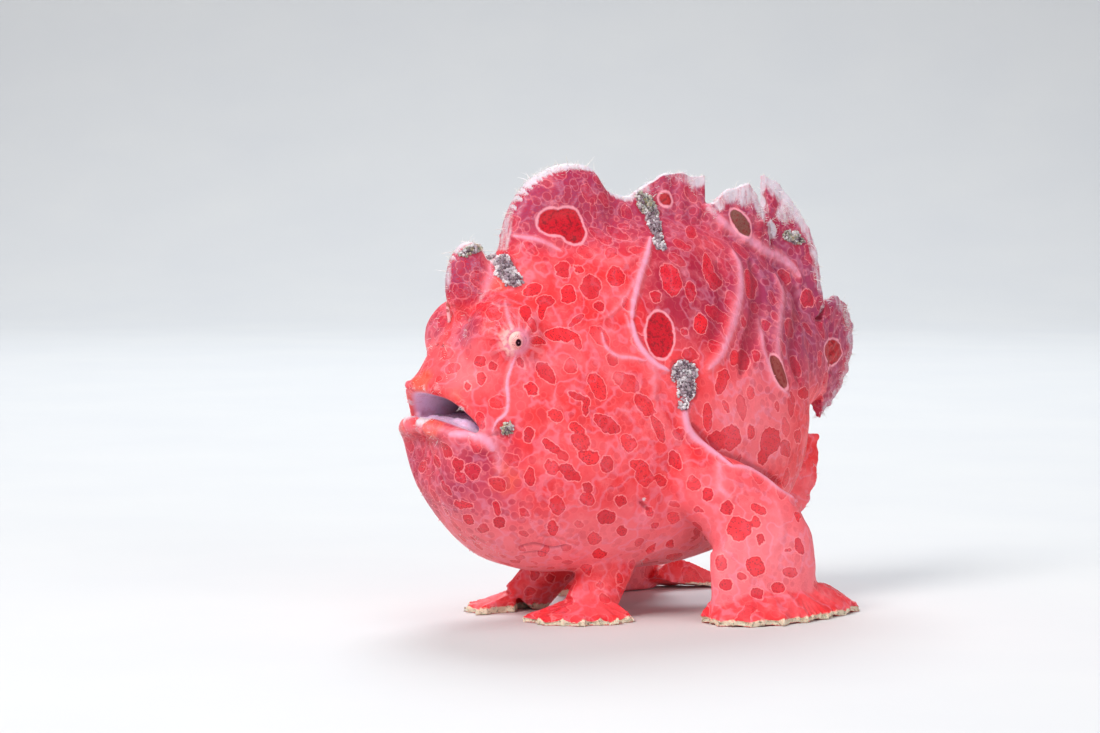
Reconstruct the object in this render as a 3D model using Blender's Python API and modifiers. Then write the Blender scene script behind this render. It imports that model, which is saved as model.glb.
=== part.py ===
"""A life-size painted frogfish as a still museum model: it stands on its hand-like fins, tail curled up.

The fish faces -X, its left side is -Y and +Z is up. All sizes are in millimetres and become metres
when a mesh is made. The body is modelled whole, fused and smoothed, and then parted with thin cuts.
Each limb and fin is trimmed where it meets the body.
"""

import math

import bmesh
import bpy
import numpy as np
from mathutils import Matrix, Vector
from mathutils.bvhtree import BVHTree

MM = 0.001
GAP = 0.3
SLIVER = 0.06  # corners nearer to each other than this are merged after a cut

# The body's sections from the lips to the tail: x, lowest z, highest z, half width, height of the widest point.
BODY_SECTIONS = (
    (-66.6, 47.5, 60.0, 4.0, 53.5),
    (-65.4, 43.5, 62.5, 8.5, 53.0),
    (-63.5, 39.0, 65.5, 12.0, 52.5),
    (-60.5, 33.5, 70.0, 15.5, 51.5),
    (-56.5, 27.5, 76.0, 18.5, 50.5),
    (-51.0, 21.5, 84.0, 21.5, 49.0),
    (-43.0, 15.5, 95.0, 24.5, 47.0),
    (-30.0, 12.2, 102.0, 27.0, 45.0),
    (-12.0, 11.4, 106.0, 28.0, 44.0),
    (5.0, 11.8, 107.0, 27.0, 45.0),
    (20.0, 14.2, 104.0, 24.8, 47.0),
    (33.0, 18.0, 99.5, 21.5, 49.0),
    (43.5, 23.5, 93.5, 16.8, 52.0),
    (50.0, 31.5, 86.5, 12.4, 56.0),
    (54.5, 42.0, 79.0, 8.0, 60.0),
    (57.5, 53.0, 73.0, 4.0, 63.0),
)
RIDGE_POWER = 1.72  # below 2, the back is drawn in to a ridge
BELLY_POWER = 2.25  # above 2, the belly is full

# The crest of the third dorsal spine, and the low web behind it: x, top z, half thickness.
CREST_SECTIONS = (
    (-39.5, 100.0, 2.5),
    (-38.3, 106.0, 4.0),
    (-35.5, 112.0, 5.2),
    (-29.5, 117.8, 5.8),
    (-21.0, 121.0, 6.0),
    (-14.0, 120.6, 5.6),
    (-10.8, 118.4, 4.8),
    (-8.8, 114.2, 4.2),
    (-3.5, 112.4, 3.8),
    (4.0, 111.6, 3.2),
    (9.0, 108.0, 2.4),
)
CREST_ROOT_Z = 92.0

SECOND_SPINE_CENTRE = (-50.4, 0.0, 90.6)
SECOND_SPINE_RADII = (6.3, 4.6, 10.4)
SECOND_SPINE_LEAN_DEG = 8.0

EYE_MOUND_CENTRE = (-44.6, 15.4, 75.6)
EYE_MOUND_RADII = (8.6, 6.8, 7.2)
EYE_SWELLING_CENTRE = (-43.0, 11.0, 74.6)  # the wider, lower swelling that the mound stands on
EYE_SWELLING_RADII = (13.5, 9.2, 11.5)
EYE_WAY = (-0.36, 0.93, -0.06)  # where the eyes look, on the +Y side
EYE_RADIUS = 2.9
EYE_PROUD = 1.0  # how far the eyeball stands out of its mound
LID_RADIUS, LID_THICKNESS = 2.9, 0.75
NOSTRIL_Y, NOSTRIL_Z = 4.2, 71.5
NOSTRIL_RADIUS, NOSTRIL_BORE, NOSTRIL_LENGTH = 1.0, 0.5, 1.4
GILL_X, GILL_Z = -9.5, 29.0
GILL_RADIUS, GILL_BORE, GILL_LENGTH = 1.7, 1.0, 0.9

# The opening between the jaws, seen from the front.
MOUTH_HALF_WIDTH = 19.6
MOUTH_TOP_Z, MOUTH_LOW_Z, MOUTH_CORNER_Z = 60.6, 54.4, 49.8
MOUTH_CORNER_HEIGHT = 1.4
MOUTH_TOP_POWER, MOUTH_LOW_POWER = 3.2, 2.0  # how long the arch stays level before it falls to the corner
# How the opening narrows towards the throat: x, share of the width, share of the height, drop.
MOUTH_SECTIONS = (
    (-76.0, 1.00, 1.00, 0.0),
    (-57.0, 1.00, 1.00, 0.0),
    (-52.0, 0.95, 1.10, 0.6),
    (-46.0, 0.78, 1.15, 1.4),
    (-40.0, 0.52, 0.95, 2.2),
    (-35.5, 0.18, 0.40, 2.8),
)
# The jaws' parting behind the mouth: x and how far below the middle of the opening.
JAW_CUT_PATH = ((-78.0, 0.0), (-55.0, 0.2), (-51.5, 1.4), (-48.0, 5.0), (-38.0, 22.0), (-22.0, 60.0))

# Half of each lip, from the middle of the mouth to its corner: x, y, z, radius.
LOWER_LIP = (
    (-64.6, 0.0, 52.2, 1.7),
    (-64.2, 3.2, 52.3, 2.8),
    (-63.4, 7.0, 51.8, 2.9),
    (-61.8, 11.0, 50.9, 2.9),
    (-58.9, 15.4, 49.4, 2.7),
    (-55.8, 18.6, 48.1, 2.3),
    (-53.2, 20.6, 47.6, 1.6),
)
UPPER_LIP = (
    (-63.0, 0.0, 62.7, 2.1),
    (-62.6, 5.0, 62.5, 2.2),
    (-61.0, 10.0, 61.5, 2.2),
    (-58.4, 15.0, 58.6, 2.1),
    (-56.2, 18.2, 54.8, 1.9),
    (-54.0, 20.5, 50.8, 1.5),
)
TONGUE_CENTRE, TONGUE_RADII = (-51.5, 0.0, 51.8), (8.0, 11.5, 3.4)

TAIL_STALK = (  # x, y, z, half height, half width
    (36.0, 0.0, 60.0, 27.0, 16.0),
    (44.0, 0.0, 61.5, 20.5, 12.6),
    (52.0, 0.2, 63.2, 15.0, 8.8),
    (59.0, 1.4, 65.0, 12.0, 5.8),
    (65.5, 4.0, 66.5, 11.0, 3.8),
)

# The arm on the left side, from inside the flank to the wrist:
# x, y, z, half breadth, half thickness, and the lean of the broad way above the horizontal in degrees.
ARM_SECTIONS = (
    (-10.0, -12.0, 48.0, 9.0, 7.0, 54.0),
    (-1.0, -19.5, 42.5, 9.5, 8.2, 52.0),
    (7.0, -24.5, 36.0, 10.0, 8.6, 48.0),
    (16.0, -29.5, 28.5, 12.0, 8.0, 34.0),
    (20.2, -33.6, 20.8, 15.2, 7.0, 16.0),
    (19.6, -35.8, 14.0, 16.0, 5.9, 5.0),
    (19.0, -37.0, 7.0, 16.2, 5.2, 0.0),
    (19.0, -37.6, -0.5, 16.4, 4.9, 0.0),
)
HAND_RAYS = 9
HAND_ROOT = (  # x, y, z along the wrist, from the front to the rear
    (8.5, -34.0, 4.6),
    (13.0, -36.8, 5.2),
    (20.5, -38.0, 5.6),
    (28.0, -37.0, 6.4),
    (33.0, -34.5, 7.2),
)
HAND_EDGE = (
    (1.2, -33.5, 0.8),
    (0.6, -41.5, 0.6),
    (5.0, -48.0, 0.5),
    (15.5, -50.5, 0.5),
    (26.5, -48.0, 0.5),
    (39.5, -42.5, 0.5),
    (53.5, -33.0, 0.6),
    (55.0, -27.0, 0.8),
)

# The left pelvic fin's stalk, as the arm.
PELVIC_SECTIONS = (
    (-9.0, -7.0, 21.0, 8.0, 6.5, 14.0),
    (-13.0, -9.5, 14.0, 7.4, 5.8, 10.0),
    (-17.5, -12.0, 7.5, 7.0, 4.8, 4.0),
    (-21.5, -13.8, 2.4, 7.2, 3.4, 0.0),
)
PELVIC_RAYS = 5
PELVIC_ROOT = ((-25.5, -10.0, 2.6), (-24.0, -14.5, 3.0), (-16.5, -16.4, 2.8))
PELVIC_EDGE = ((-39.0, -9.0, 0.5), (-38.0, -17.5, 0.4), (-31.5, -24.5, 0.4), (-20.0, -27.0, 0.4), (-12.5, -24.0, 0.5))

RIGHT_SIDE_SHIFT = -4.0  # the right hand and foot are set down a little further forward

# The dorsal fin's lobes from the front: rays, where the lobe leaves the back, and its free edge, as x, y, z.
DORSAL_LOBES = (
    (
        6,
        ((-1.0, 0.0, 98.0), (10.0, 0.0, 98.5), (24.0, 0.0, 95.5)),
        (
            (-4.0, 0.0, 111.6),
            (1.5, 0.3, 113.0),
            (6.0, 0.5, 115.8),
            (14.4, 0.8, 118.6),
            (20.0, 1.0, 117.6),
            (24.2, 1.2, 117.6),
            (24.0, 0.8, 110.0),
        ),
    ),
    (
        5,
        ((20.0, 0.0, 96.0), (31.0, 0.0, 92.5), (42.0, 0.0, 86.0)),
        (
            (18.8, -0.6, 108.0),
            (24.5, -1.4, 109.6),
            (30.0, -1.6, 113.6),
            (36.5, -1.4, 115.2),
            (41.8, -0.4, 109.0),
            (45.6, 0.6, 97.0),
        ),
    ),
    (
        4,
        ((40.0, 0.6, 87.0), (48.0, 1.2, 82.0), (55.5, 0.8, 73.0)),
        (
            (44.6, 3.4, 95.5),
            (48.2, 6.0, 107.0),
            (47.4, 8.0, 117.6),
            (53.2, 8.2, 115.2),
            (59.4, 7.2, 107.0),
            (64.2, 5.2, 95.0),
            (64.6, 3.0, 81.5),
        ),
    ),
)

CAUDAL_RAYS = 9
CAUDAL_ROOT = ((60.5, 2.4, 75.0), (63.0, 3.4, 66.5), (61.5, 2.6, 58.0))
CAUDAL_EDGE = (
    (66.0, 4.6, 82.0),
    (72.4, 8.0, 83.4),
    (78.6, 11.2, 79.5),
    (82.0, 13.2, 71.5),
    (80.0, 12.8, 62.5),
    (73.6, 9.4, 55.0),
    (64.6, 4.8, 49.5),
)

ANAL_RAYS = 7
ANAL_ROOT = ((38.0, 0.0, 26.0), (47.0, 0.0, 33.0), (53.5, 0.0, 46.0))
ANAL_EDGE = ((42.0, 0.6, 16.5), (50.5, 1.0, 18.0), (57.0, 0.8, 24.5), (61.0, 0.2, 34.0), (61.2, 0.0, 45.5))

# The lure's rod, laid back along the right of the second spine, and the bait at its end.
LURE_PATH = ((-54.5, 1.5, 79.0), (-53.4, 4.4, 84.0), (-50.6, 6.0, 88.6), (-46.4, 7.2, 92.2), (-43.0, 8.4, 94.2))
LURE_RADIUS = 0.55
BAIT_LENGTH, BAIT_RADIUS, BAIT_LOBES = 4.2, 1.0, 5

SKIN_VOXEL = 0.85
SKIN_SMOOTHING = 12
SKIN_TRIANGLES = 5600

# Thin cuts that part the fused body, each from one x, z to another and right across the fish.
BODY_CUTS = {
    "neck_cut": ((-3.0, 125.0), (4.0, 3.0)),
    "tail_cut": ((51.5, 96.0), (48.5, 15.0)),
    "third_spine_cut": ((-43.0, 100.4), (2.0, 108.2)),
    "second_spine_cut": ((-60.0, 81.4), (-42.0, 101.0)),
}
# A point inside each piece that the cuts leave.
BODY_PIECES = {
    "head": (-25.0, 0.0, 75.0),
    "lower_jaw": (-54.0, 0.0, 40.0),
    "trunk": (20.0, 0.0, 50.0),
    "tail_stalk": (53.0, 0.0, 64.0),
    "third_dorsal_spine": (-20.0, 0.0, 113.0),
    "second_dorsal_spine": (-51.0, 0.0, 96.0),
}

CORAL = (0.86, 0.12, 0.13, 1.0)
DEEP_CORAL = (0.72, 0.07, 0.09, 1.0)
PALE_PINK = (0.90, 0.42, 0.42, 1.0)
EYE_DARK = (0.05, 0.02, 0.03, 1.0)


def clear_scene():
    for obj in list(bpy.data.objects):
        bpy.data.objects.remove(obj, do_unlink=True)


def material(name, colour, roughness=0.45):
    made = bpy.data.materials.new(name)
    made.use_nodes = True
    shader = made.node_tree.nodes["Principled BSDF"]
    shader.inputs["Base Color"].default_value = colour
    shader.inputs["Roughness"].default_value = roughness
    shader.inputs["Metallic"].default_value = 0.0
    return made


def new_collection(name, shown=True):
    made = bpy.data.collections.new(name)
    bpy.context.scene.collection.children.link(made)
    made.hide_render = not shown
    return made


def add_mesh(name, points, faces):
    """A mesh object from points in millimetres."""
    mesh = bpy.data.meshes.new(name)
    mesh.from_pydata([tuple(np.asarray(p, float) * MM) for p in points], [], [tuple(f) for f in faces])
    mesh.validate()
    obj = bpy.data.objects.new(name, mesh)
    FISH.objects.link(obj)
    return obj


def through(rows, at):
    """Values at the given keys on a smooth curve through rows of key and values that never overshoots them."""
    rows = np.asarray(rows, float)
    keys, values = rows[:, 0], rows[:, 1:]
    span = np.diff(keys)[:, None]
    slope = np.diff(values, axis=0) / span
    tangent = np.zeros_like(values)
    tangent[0], tangent[-1] = slope[0], slope[-1]
    before, after = slope[:-1], slope[1:]
    same_way = before * after > 0
    together = np.where(same_way, before + after, 1.0)
    tangent[1:-1] = np.where(same_way, 2 * before * after / together, 0.0)
    at = np.atleast_1d(np.asarray(at, float))
    i = np.clip(np.searchsorted(keys, at, side="right") - 1, 0, len(keys) - 2)
    t = ((at - keys[i]) / span[i, 0])[:, None]
    return (
        (2 * t**3 - 3 * t**2 + 1) * values[i]
        + (t**3 - 2 * t**2 + t) * span[i] * tangent[i]
        + (3 * t**2 - 2 * t**3) * values[i + 1]
        + (t**3 - t**2) * span[i] * tangent[i + 1]
    )


def along(points, shares):
    """Points at the given shares of the way along a smooth curve through a few points."""
    points = np.asarray(points, float)
    steps = np.linalg.norm(np.diff(points, axis=0), axis=1)
    keys = np.concatenate([[0], np.cumsum(steps)]) / steps.sum()
    return through(np.column_stack([keys, points]), shares)


def power_round(value, power):
    """The sine or cosine of a circle bent to that of a superellipse."""
    return np.sign(value) * np.abs(value) ** (2.0 / power)


def loft(name, rings):
    """A closed mesh over rings of equal length."""
    count = len(rings[0])
    points = np.concatenate(rings)
    faces = []
    for i in range(len(rings) - 1):
        for j in range(count):
            k = (j + 1) % count
            faces.append((i * count + j, i * count + k, (i + 1) * count + k, (i + 1) * count + j))
    last = (len(rings) - 1) * count
    faces.append(tuple(range(count))[::-1])
    faces.append(tuple(last + j for j in range(count)))
    obj = add_mesh(name, points, faces)
    face_outwards(obj)
    return obj


def face_outwards(obj):
    mesh = bmesh.new()
    mesh.from_mesh(obj.data)
    bmesh.ops.recalc_face_normals(mesh, faces=mesh.faces)
    mesh.to_mesh(obj.data)
    mesh.free()


def ellipsoid(name, centre, radii, lean_deg=0.0, segments=24, rings=16):
    mesh = bmesh.new()
    bmesh.ops.create_uvsphere(mesh, u_segments=segments, v_segments=rings, radius=MM)
    place = (
        Matrix.Translation(Vector(centre) * MM)
        @ Matrix.Rotation(math.radians(lean_deg), 4, "Y")
        @ Matrix.Diagonal((*radii, 1.0))
    )
    mesh.transform(place)
    return from_bmesh(name, mesh)


def from_bmesh(name, mesh):
    data = bpy.data.meshes.new(name)
    mesh.to_mesh(data)
    mesh.free()
    obj = bpy.data.objects.new(name, data)
    FISH.objects.link(obj)
    return obj


def tube(name, stations, sides=12):
    """A round bar with closed ends along stations of x, y, z and radius."""
    data = bpy.data.curves.new(name, "CURVE")
    data.dimensions = "3D"
    data.bevel_depth = MM
    data.bevel_resolution = (sides - 4) // 2
    data.use_fill_caps = True
    spline = data.splines.new("POLY")
    spline.points.add(len(stations) - 1)
    for point, (x, y, z, radius) in zip(spline.points, stations):
        point.co = (x * MM, y * MM, z * MM, 1.0)
        point.radius = radius
    curve = bpy.data.objects.new(name, data)
    FISH.objects.link(curve)
    return as_mesh(curve)


def as_mesh(obj):
    """The object as evaluated, in place of the object, as a plain mesh with no modifiers."""
    graph = bpy.context.evaluated_depsgraph_get()
    graph.update()
    data = bpy.data.meshes.new_from_object(obj.evaluated_get(graph))
    name, place = obj.name, obj.matrix_world.copy()
    bpy.data.objects.remove(obj, do_unlink=True)
    made = bpy.data.objects.new(name, data)
    made.matrix_world = place
    FISH.objects.link(made)
    mesh = bmesh.new()
    mesh.from_mesh(data)
    bmesh.ops.remove_doubles(mesh, verts=mesh.verts, dist=0.001 * MM)
    mesh.to_mesh(data)
    mesh.free()
    return made


def copy_of(obj, name):
    made = obj.copy()
    made.data = obj.data.copy()
    made.name = name
    FISH.objects.link(made)
    return made


def apply_boolean(obj, operation, others, solver="EXACT"):
    """Joins the other objects to this one, or cuts them from it, and removes them."""
    group = new_collection(f"{obj.name}_{operation.lower()}", shown=False)
    for other in others:
        for holder in list(other.users_collection):
            holder.objects.unlink(other)
        group.objects.link(other)
    modifier = obj.modifiers.new(operation.title(), "BOOLEAN")
    modifier.operation = operation
    modifier.operand_type = "COLLECTION"
    modifier.collection = group
    modifier.solver = solver
    name = obj.name
    made = as_mesh(obj)
    made.name = name
    for other in others:
        bpy.data.objects.remove(other, do_unlink=True)
    bpy.data.collections.remove(group)
    return made


def union(name, pieces, solver="EXACT"):
    """One closed body from overlapping closed pieces."""
    made = apply_boolean(pieces[0], "UNION", pieces[1:], solver)
    made.name = name
    return made


def triangle_count(obj):
    return sum(len(face.vertices) - 2 for face in obj.data.polygons)


def soften(obj, voxel, smoothing, triangles):
    """Rounds the creases of a fused body and brings it down to about so many triangles."""
    remesh = obj.modifiers.new("Remesh", "REMESH")
    remesh.mode = "VOXEL"
    remesh.voxel_size = voxel * MM
    smooth = obj.modifiers.new("Smooth", "SMOOTH")
    smooth.factor = 0.5
    smooth.iterations = smoothing
    fine = as_mesh(obj)
    fewer = fine.modifiers.new("Decimate", "DECIMATE")
    fewer.ratio = min(1.0, triangles / triangle_count(fine))
    fewer.use_collapse_triangulate = True
    return as_mesh(fine)


def grown(obj, by):
    """A copy whose surface stands that far outside, for trimming what meets it."""
    made = copy_of(obj, obj.name + "_grown")
    push = made.modifiers.new("Displace", "DISPLACE")
    push.mid_level = 0.0
    push.strength = by * MM
    return as_mesh(made)


def mirrored(obj, shift):
    """The same piece on the other side of the fish, moved forward or back by a little."""
    obj.data.transform(Matrix.Translation((shift * MM, 0.0, 0.0)) @ Matrix.Scale(-1.0, 4, (0, 1, 0)))
    obj.data.flip_normals()
    return obj


def largest_body(obj):
    """Keeps the largest closed surface of a mesh and drops the scraps."""
    bodies = loose_bodies(obj.data)
    keep = max(bodies, key=lambda body: body_volume(obj.data, body))
    return keep_faces(obj, keep)


def loose_bodies(data):
    """The face indices of each surface whose faces meet along edges."""
    owner = {}
    for face in data.polygons:
        for edge in face.edge_keys:
            owner.setdefault(edge, []).append(face.index)
    seen, bodies = set(), []
    for face in data.polygons:
        if face.index in seen:
            continue
        seen.add(face.index)
        todo, found = [face.index], []
        while todo:
            index = todo.pop()
            found.append(index)
            for edge in data.polygons[index].edge_keys:
                for other in owner[edge]:
                    if other not in seen:
                        seen.add(other)
                        todo.append(other)
        bodies.append(found)
    return bodies


def body_volume(data, faces):
    total = 0.0
    for index in faces:
        corners = [data.vertices[v].co for v in data.polygons[index].vertices]
        for i in range(1, len(corners) - 1):
            total += corners[0].dot(corners[i].cross(corners[i + 1])) / 6.0
    return total


def keep_faces(obj, faces):
    wanted = set(faces)
    mesh = bmesh.new()
    mesh.from_mesh(obj.data)
    mesh.faces.ensure_lookup_table()
    bmesh.ops.delete(mesh, geom=[f for f in mesh.faces if f.index not in wanted], context="FACES")
    mesh.to_mesh(obj.data)
    mesh.free()
    return obj


def body_mesh():
    """The trunk and head as one lofted form."""
    keys = np.concatenate([np.linspace(-62.0, -48.0, 22), np.linspace(-46.5, 51.5, 60)])
    rings = []
    angle = np.linspace(0, 2 * math.pi, 56, endpoint=False)
    for x, (low, high, wide, middle) in zip(keys, through(BODY_SECTIONS, keys)):
        rise = np.sin(angle)
        over = np.where(rise > 0, power_round(rise, RIDGE_POWER), 0) * (high - middle)
        under = np.where(rise < 0, power_round(rise, BELLY_POWER), 0) * (middle - low)
        power = np.where(rise > 0, RIDGE_POWER, BELLY_POWER)
        side = np.sign(np.cos(angle)) * np.abs(np.cos(angle)) ** (2.0 / power) * wide
        rings.append(np.column_stack([np.full_like(angle, x), side, middle + over + under]))
    return loft("skin", rings)


def crest_mesh():
    """The raised lobe of the third dorsal spine with the web behind it."""
    keys = np.linspace(CREST_SECTIONS[0][0], CREST_SECTIONS[-1][0], 40)
    angle = np.linspace(0, 2 * math.pi, 28, endpoint=False)
    rings = []
    for x, (top, half) in zip(keys, through(CREST_SECTIONS, keys)):
        middle, tall = (top + CREST_ROOT_Z) / 2, (top - CREST_ROOT_Z) / 2
        side = power_round(np.cos(angle), 2.0) * half * np.where(np.sin(angle) < 0, 1.5, 1.0)
        rings.append(np.column_stack([np.full_like(angle, x), side, middle + power_round(np.sin(angle), 2.6) * tall]))
    return loft("crest", rings)


def mouth_heights(share):
    """The height of the opening's roof and floor at a share of the way from its middle to its corner."""
    share = np.minimum(np.abs(share), 1.0)
    roof_end = MOUTH_CORNER_Z + MOUTH_CORNER_HEIGHT / 2
    floor_end = MOUTH_CORNER_Z - MOUTH_CORNER_HEIGHT / 2
    roof = roof_end + (MOUTH_TOP_Z - roof_end) * (1 - share**MOUTH_TOP_POWER)
    floor = floor_end + (MOUTH_LOW_Z - floor_end) * (1 - share**MOUTH_LOW_POWER)
    return roof, floor


def mouth_mesh():
    """The hollow between the jaws."""
    share = np.linspace(-1, 1, 17)
    roof, floor = mouth_heights(share)
    middle, half = (roof + floor) / 2, (roof - floor) / 2
    rings = []
    keys = np.linspace(MOUTH_SECTIONS[0][0], MOUTH_SECTIONS[-1][0], 24)
    for x, (wide, tall, drop) in zip(keys, through(MOUTH_SECTIONS, keys)):
        side = share * MOUTH_HALF_WIDTH * wide
        over = np.column_stack([np.full_like(side, x), side, middle - drop + half * tall])
        under = np.column_stack([np.full_like(side, x), side, middle - drop - half * tall])
        rings.append(np.concatenate([over, under[::-1]]))
    return loft("mouth", rings)


def jaw_cut():
    """A thin bent sheet from within the mouth down to the throat, right across the fish."""
    side = np.linspace(-36, 36, 19)
    roof, floor = mouth_heights(side / MOUTH_HALF_WIDTH)
    path = along([(x, 0.0, -drop) for x, drop in JAW_CUT_PATH], np.linspace(0, 1, 13))
    grid = np.empty((len(side), len(path), 3))
    grid[:, :, 0] = path[None, :, 0]
    grid[:, :, 1] = side[:, None]
    grid[:, :, 2] = ((roof + floor) / 2)[:, None] + path[None, :, 2]
    normal = np.cross(np.gradient(grid, axis=0), np.gradient(grid, axis=1))
    normal /= np.linalg.norm(normal, axis=2, keepdims=True)
    return slab("jaw_cut", grid + normal * GAP / 2, grid - normal * GAP / 2)


def both_halves(stations):
    """A lip's stations from the right corner, round the front, to the left corner."""
    half = along(stations, np.linspace(0, 1, 14))
    other = half[:0:-1] * (1, -1, 1, 1)
    return np.concatenate([other, half])


def oriented_loft(name, sections, rows, count):
    """A limb over sections of x, y, z, half breadth, half thickness and the broad way's lean in degrees."""
    shares = np.linspace(0, 1, rows)
    stations = along(sections, shares)
    centres = stations[:, :3]
    forward = np.gradient(centres, axis=0)
    angle = np.linspace(0, 2 * math.pi, count, endpoint=False)
    rings = []
    for centre, ahead, (_, _, _, broad, thin, lean) in zip(centres, forward, stations):
        ahead = ahead / np.linalg.norm(ahead)
        tilt = math.radians(lean)
        across = np.array([math.cos(tilt), 0.0, math.sin(tilt)])
        across = across - ahead * across.dot(ahead)
        across = across / np.linalg.norm(across)
        upright = np.cross(ahead, across)
        rings.append(
            centre
            + np.outer(power_round(np.cos(angle), 2.3) * broad, across)
            + np.outer(power_round(np.sin(angle), 2.3) * thin, upright)
        )
    return loft(name, rings)


def ray_fin(name, root, edge, rays, root_half, edge_half, ridge, web_cut, rows=7, bow=(0, 0, 0)):
    """A fin from root to edge, with a raised ridge along each ray and its edge cut back between the rays."""
    columns = 3 * (rays - 1) + 1
    shares = np.linspace(0, 1, columns)
    root_line, edge_line = along(root, shares), along(edge, shares)
    on_ray = 0.5 + 0.5 * np.cos(2 * math.pi * shares * (rays - 1))
    reach = np.linspace(0, 1, rows)
    length = 1 - web_cut * (1 - on_ray)
    grid = (
        root_line[:, None]
        + (edge_line - root_line)[:, None] * (reach[None, :] * length[:, None])[:, :, None]
        + np.asarray(bow, float)[None, None] * np.sin(math.pi * reach)[None, :, None]
    )
    normal = np.cross(np.gradient(grid, axis=0), np.gradient(grid, axis=1))
    normal /= np.maximum(np.linalg.norm(normal, axis=2, keepdims=True), 1e-9)
    half = root_half + (edge_half - root_half) * reach[None, :]
    half = half + ridge * (on_ray[:, None] - 0.35) * np.minimum(1.0, 1.4 - reach[None, :])
    offset = normal * half[:, :, None]
    return slab(name, grid + offset, grid - offset)


def slab(name, front, back):
    """A closed sheet between two grids of points, split into triangles alike on both."""
    columns, rows = front.shape[:2]
    points = np.concatenate([front.reshape(-1, 3), back.reshape(-1, 3)])
    start = columns * rows

    def at(i, j, side):
        return side * start + i * rows + j

    faces = []
    for i in range(columns - 1):
        for j in range(rows - 1):
            for side in (0, 1):
                a, b, c, d = at(i, j, side), at(i + 1, j, side), at(i + 1, j + 1, side), at(i, j + 1, side)
                faces += [(a, b, c), (a, c, d)] if side == 0 else [(a, c, b), (a, d, c)]
    rim = [(i, 0) for i in range(columns)]
    rim += [(columns - 1, j) for j in range(1, rows)]
    rim += [(i, rows - 1) for i in range(columns - 2, -1, -1)]
    rim += [(0, j) for j in range(rows - 2, 0, -1)]
    for (i, j), (k, m) in zip(rim, rim[1:] + rim[:1]):
        faces += [(at(i, j, 0), at(i, j, 1), at(k, m, 1)), (at(i, j, 0), at(k, m, 1), at(k, m, 0))]
    obj = add_mesh(name, points, faces)
    face_outwards(obj)
    return obj


def thin_cut(name, start, end):
    """A slab one gap thick, right across the fish, from one x, z to another."""
    (x0, z0), (x1, z1) = start, end
    length = math.hypot(x1 - x0, z1 - z0)
    mesh = bmesh.new()
    bmesh.ops.create_cube(mesh, size=MM)
    place = (
        Matrix.Translation(Vector(((x0 + x1) / 2, 0.0, (z0 + z1) / 2)) * MM)
        @ Matrix.Rotation(-math.atan2(z1 - z0, x1 - x0), 4, "Y")
        @ Matrix.Diagonal((length, 120.0, GAP, 1.0))
    )
    mesh.transform(place)
    return from_bmesh(name, mesh)


def floor_block(name="below_the_floor"):
    mesh = bmesh.new()
    bmesh.ops.create_cube(mesh, size=MM)
    mesh.transform(Matrix.Translation((0, 0, -10 * MM)) @ Matrix.Diagonal((400.0, 400.0, 20.0, 1.0)))
    return from_bmesh(name, mesh)


def on_surface(tree, towards, way):
    """The point and the outward way of the surface that a line meets on its way in to a point."""
    way = Vector(way).normalized()
    spot, outward, _, _ = tree.ray_cast(Vector(towards) * MM + way * 0.1, -way)
    return np.array(spot) / MM, np.array(outward)


def frustum(name, centre, way, near, far, length, sides=12):
    """A cone's slice that stands on a surface: its near radius sunk in by one length, its far one out by one."""
    mesh = bmesh.new()
    bmesh.ops.create_cone(
        mesh, cap_ends=True, segments=sides, radius1=near * MM, radius2=far * MM, depth=2 * length * MM
    )
    turn = Vector((0, 0, 1)).rotation_difference(Vector(way)).to_matrix().to_4x4()
    mesh.transform(Matrix.Translation(Vector(centre) * MM) @ turn)
    return from_bmesh(name, mesh)


def fused_skin():
    """Head, trunk, tail stalk and the two fleshy dorsal spines as one smooth body with an open mouth."""
    pieces = [body_mesh(), crest_mesh(), stalk_mesh()]
    pieces.append(ellipsoid("second_spine", SECOND_SPINE_CENTRE, SECOND_SPINE_RADII, SECOND_SPINE_LEAN_DEG))
    for side in (-1, 1):
        x, y, z = EYE_MOUND_CENTRE
        pieces.append(ellipsoid("eye_mound", (x, side * y, z), EYE_MOUND_RADII))
        x, y, z = EYE_SWELLING_CENTRE
        pieces.append(ellipsoid("eye_swelling", (x, side * y, z), EYE_SWELLING_RADII))
    body = union("skin", pieces)
    body = apply_boolean(body, "DIFFERENCE", [mouth_mesh()])
    lips = [tube("lower_lip", both_halves(LOWER_LIP)), tube("upper_lip", both_halves(UPPER_LIP))]
    body = union("skin", [body, *lips])
    return soften(body, SKIN_VOXEL, SKIN_SMOOTHING, SKIN_TRIANGLES)


def stalk_mesh():
    """The short stalk that carries the tail fin."""
    shares = np.linspace(0, 1, 10)
    angle = np.linspace(0, 2 * math.pi, 24, endpoint=False)
    rings = []
    for x, y, z, tall, wide in along(TAIL_STALK, shares):
        rings.append(
            np.column_stack([np.full_like(angle, x), y + wide * np.cos(angle), z + tall * np.sin(angle)])
        )
    return loft("stalk", rings)


def tree_of(obj):
    return BVHTree.FromPolygons([v.co.copy() for v in obj.data.vertices], [tuple(f.vertices) for f in obj.data.polygons])


def part_body(skin):
    """Cuts the fused body into its named pieces."""
    cuts = [thin_cut(name, *ends) for name, ends in BODY_CUTS.items()]
    cuts.append(jaw_cut())
    parted = apply_boolean(skin, "DIFFERENCE", cuts)
    bodies = loose_bodies(parted.data)
    trees = []
    for faces in bodies:
        piece = keep_faces(copy_of(parted, "piece"), faces)
        trees.append((piece, tree_of(piece)))
    pieces = {}
    for name, inside in BODY_PIECES.items():
        found = min(trees, key=lambda pair: inside_distance(pair[1], inside))
        pieces[name] = copy_of(found[0], name)
    for piece, _ in trees:
        bpy.data.objects.remove(piece, do_unlink=True)
    bpy.data.objects.remove(parted, do_unlink=True)
    return pieces


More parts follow.
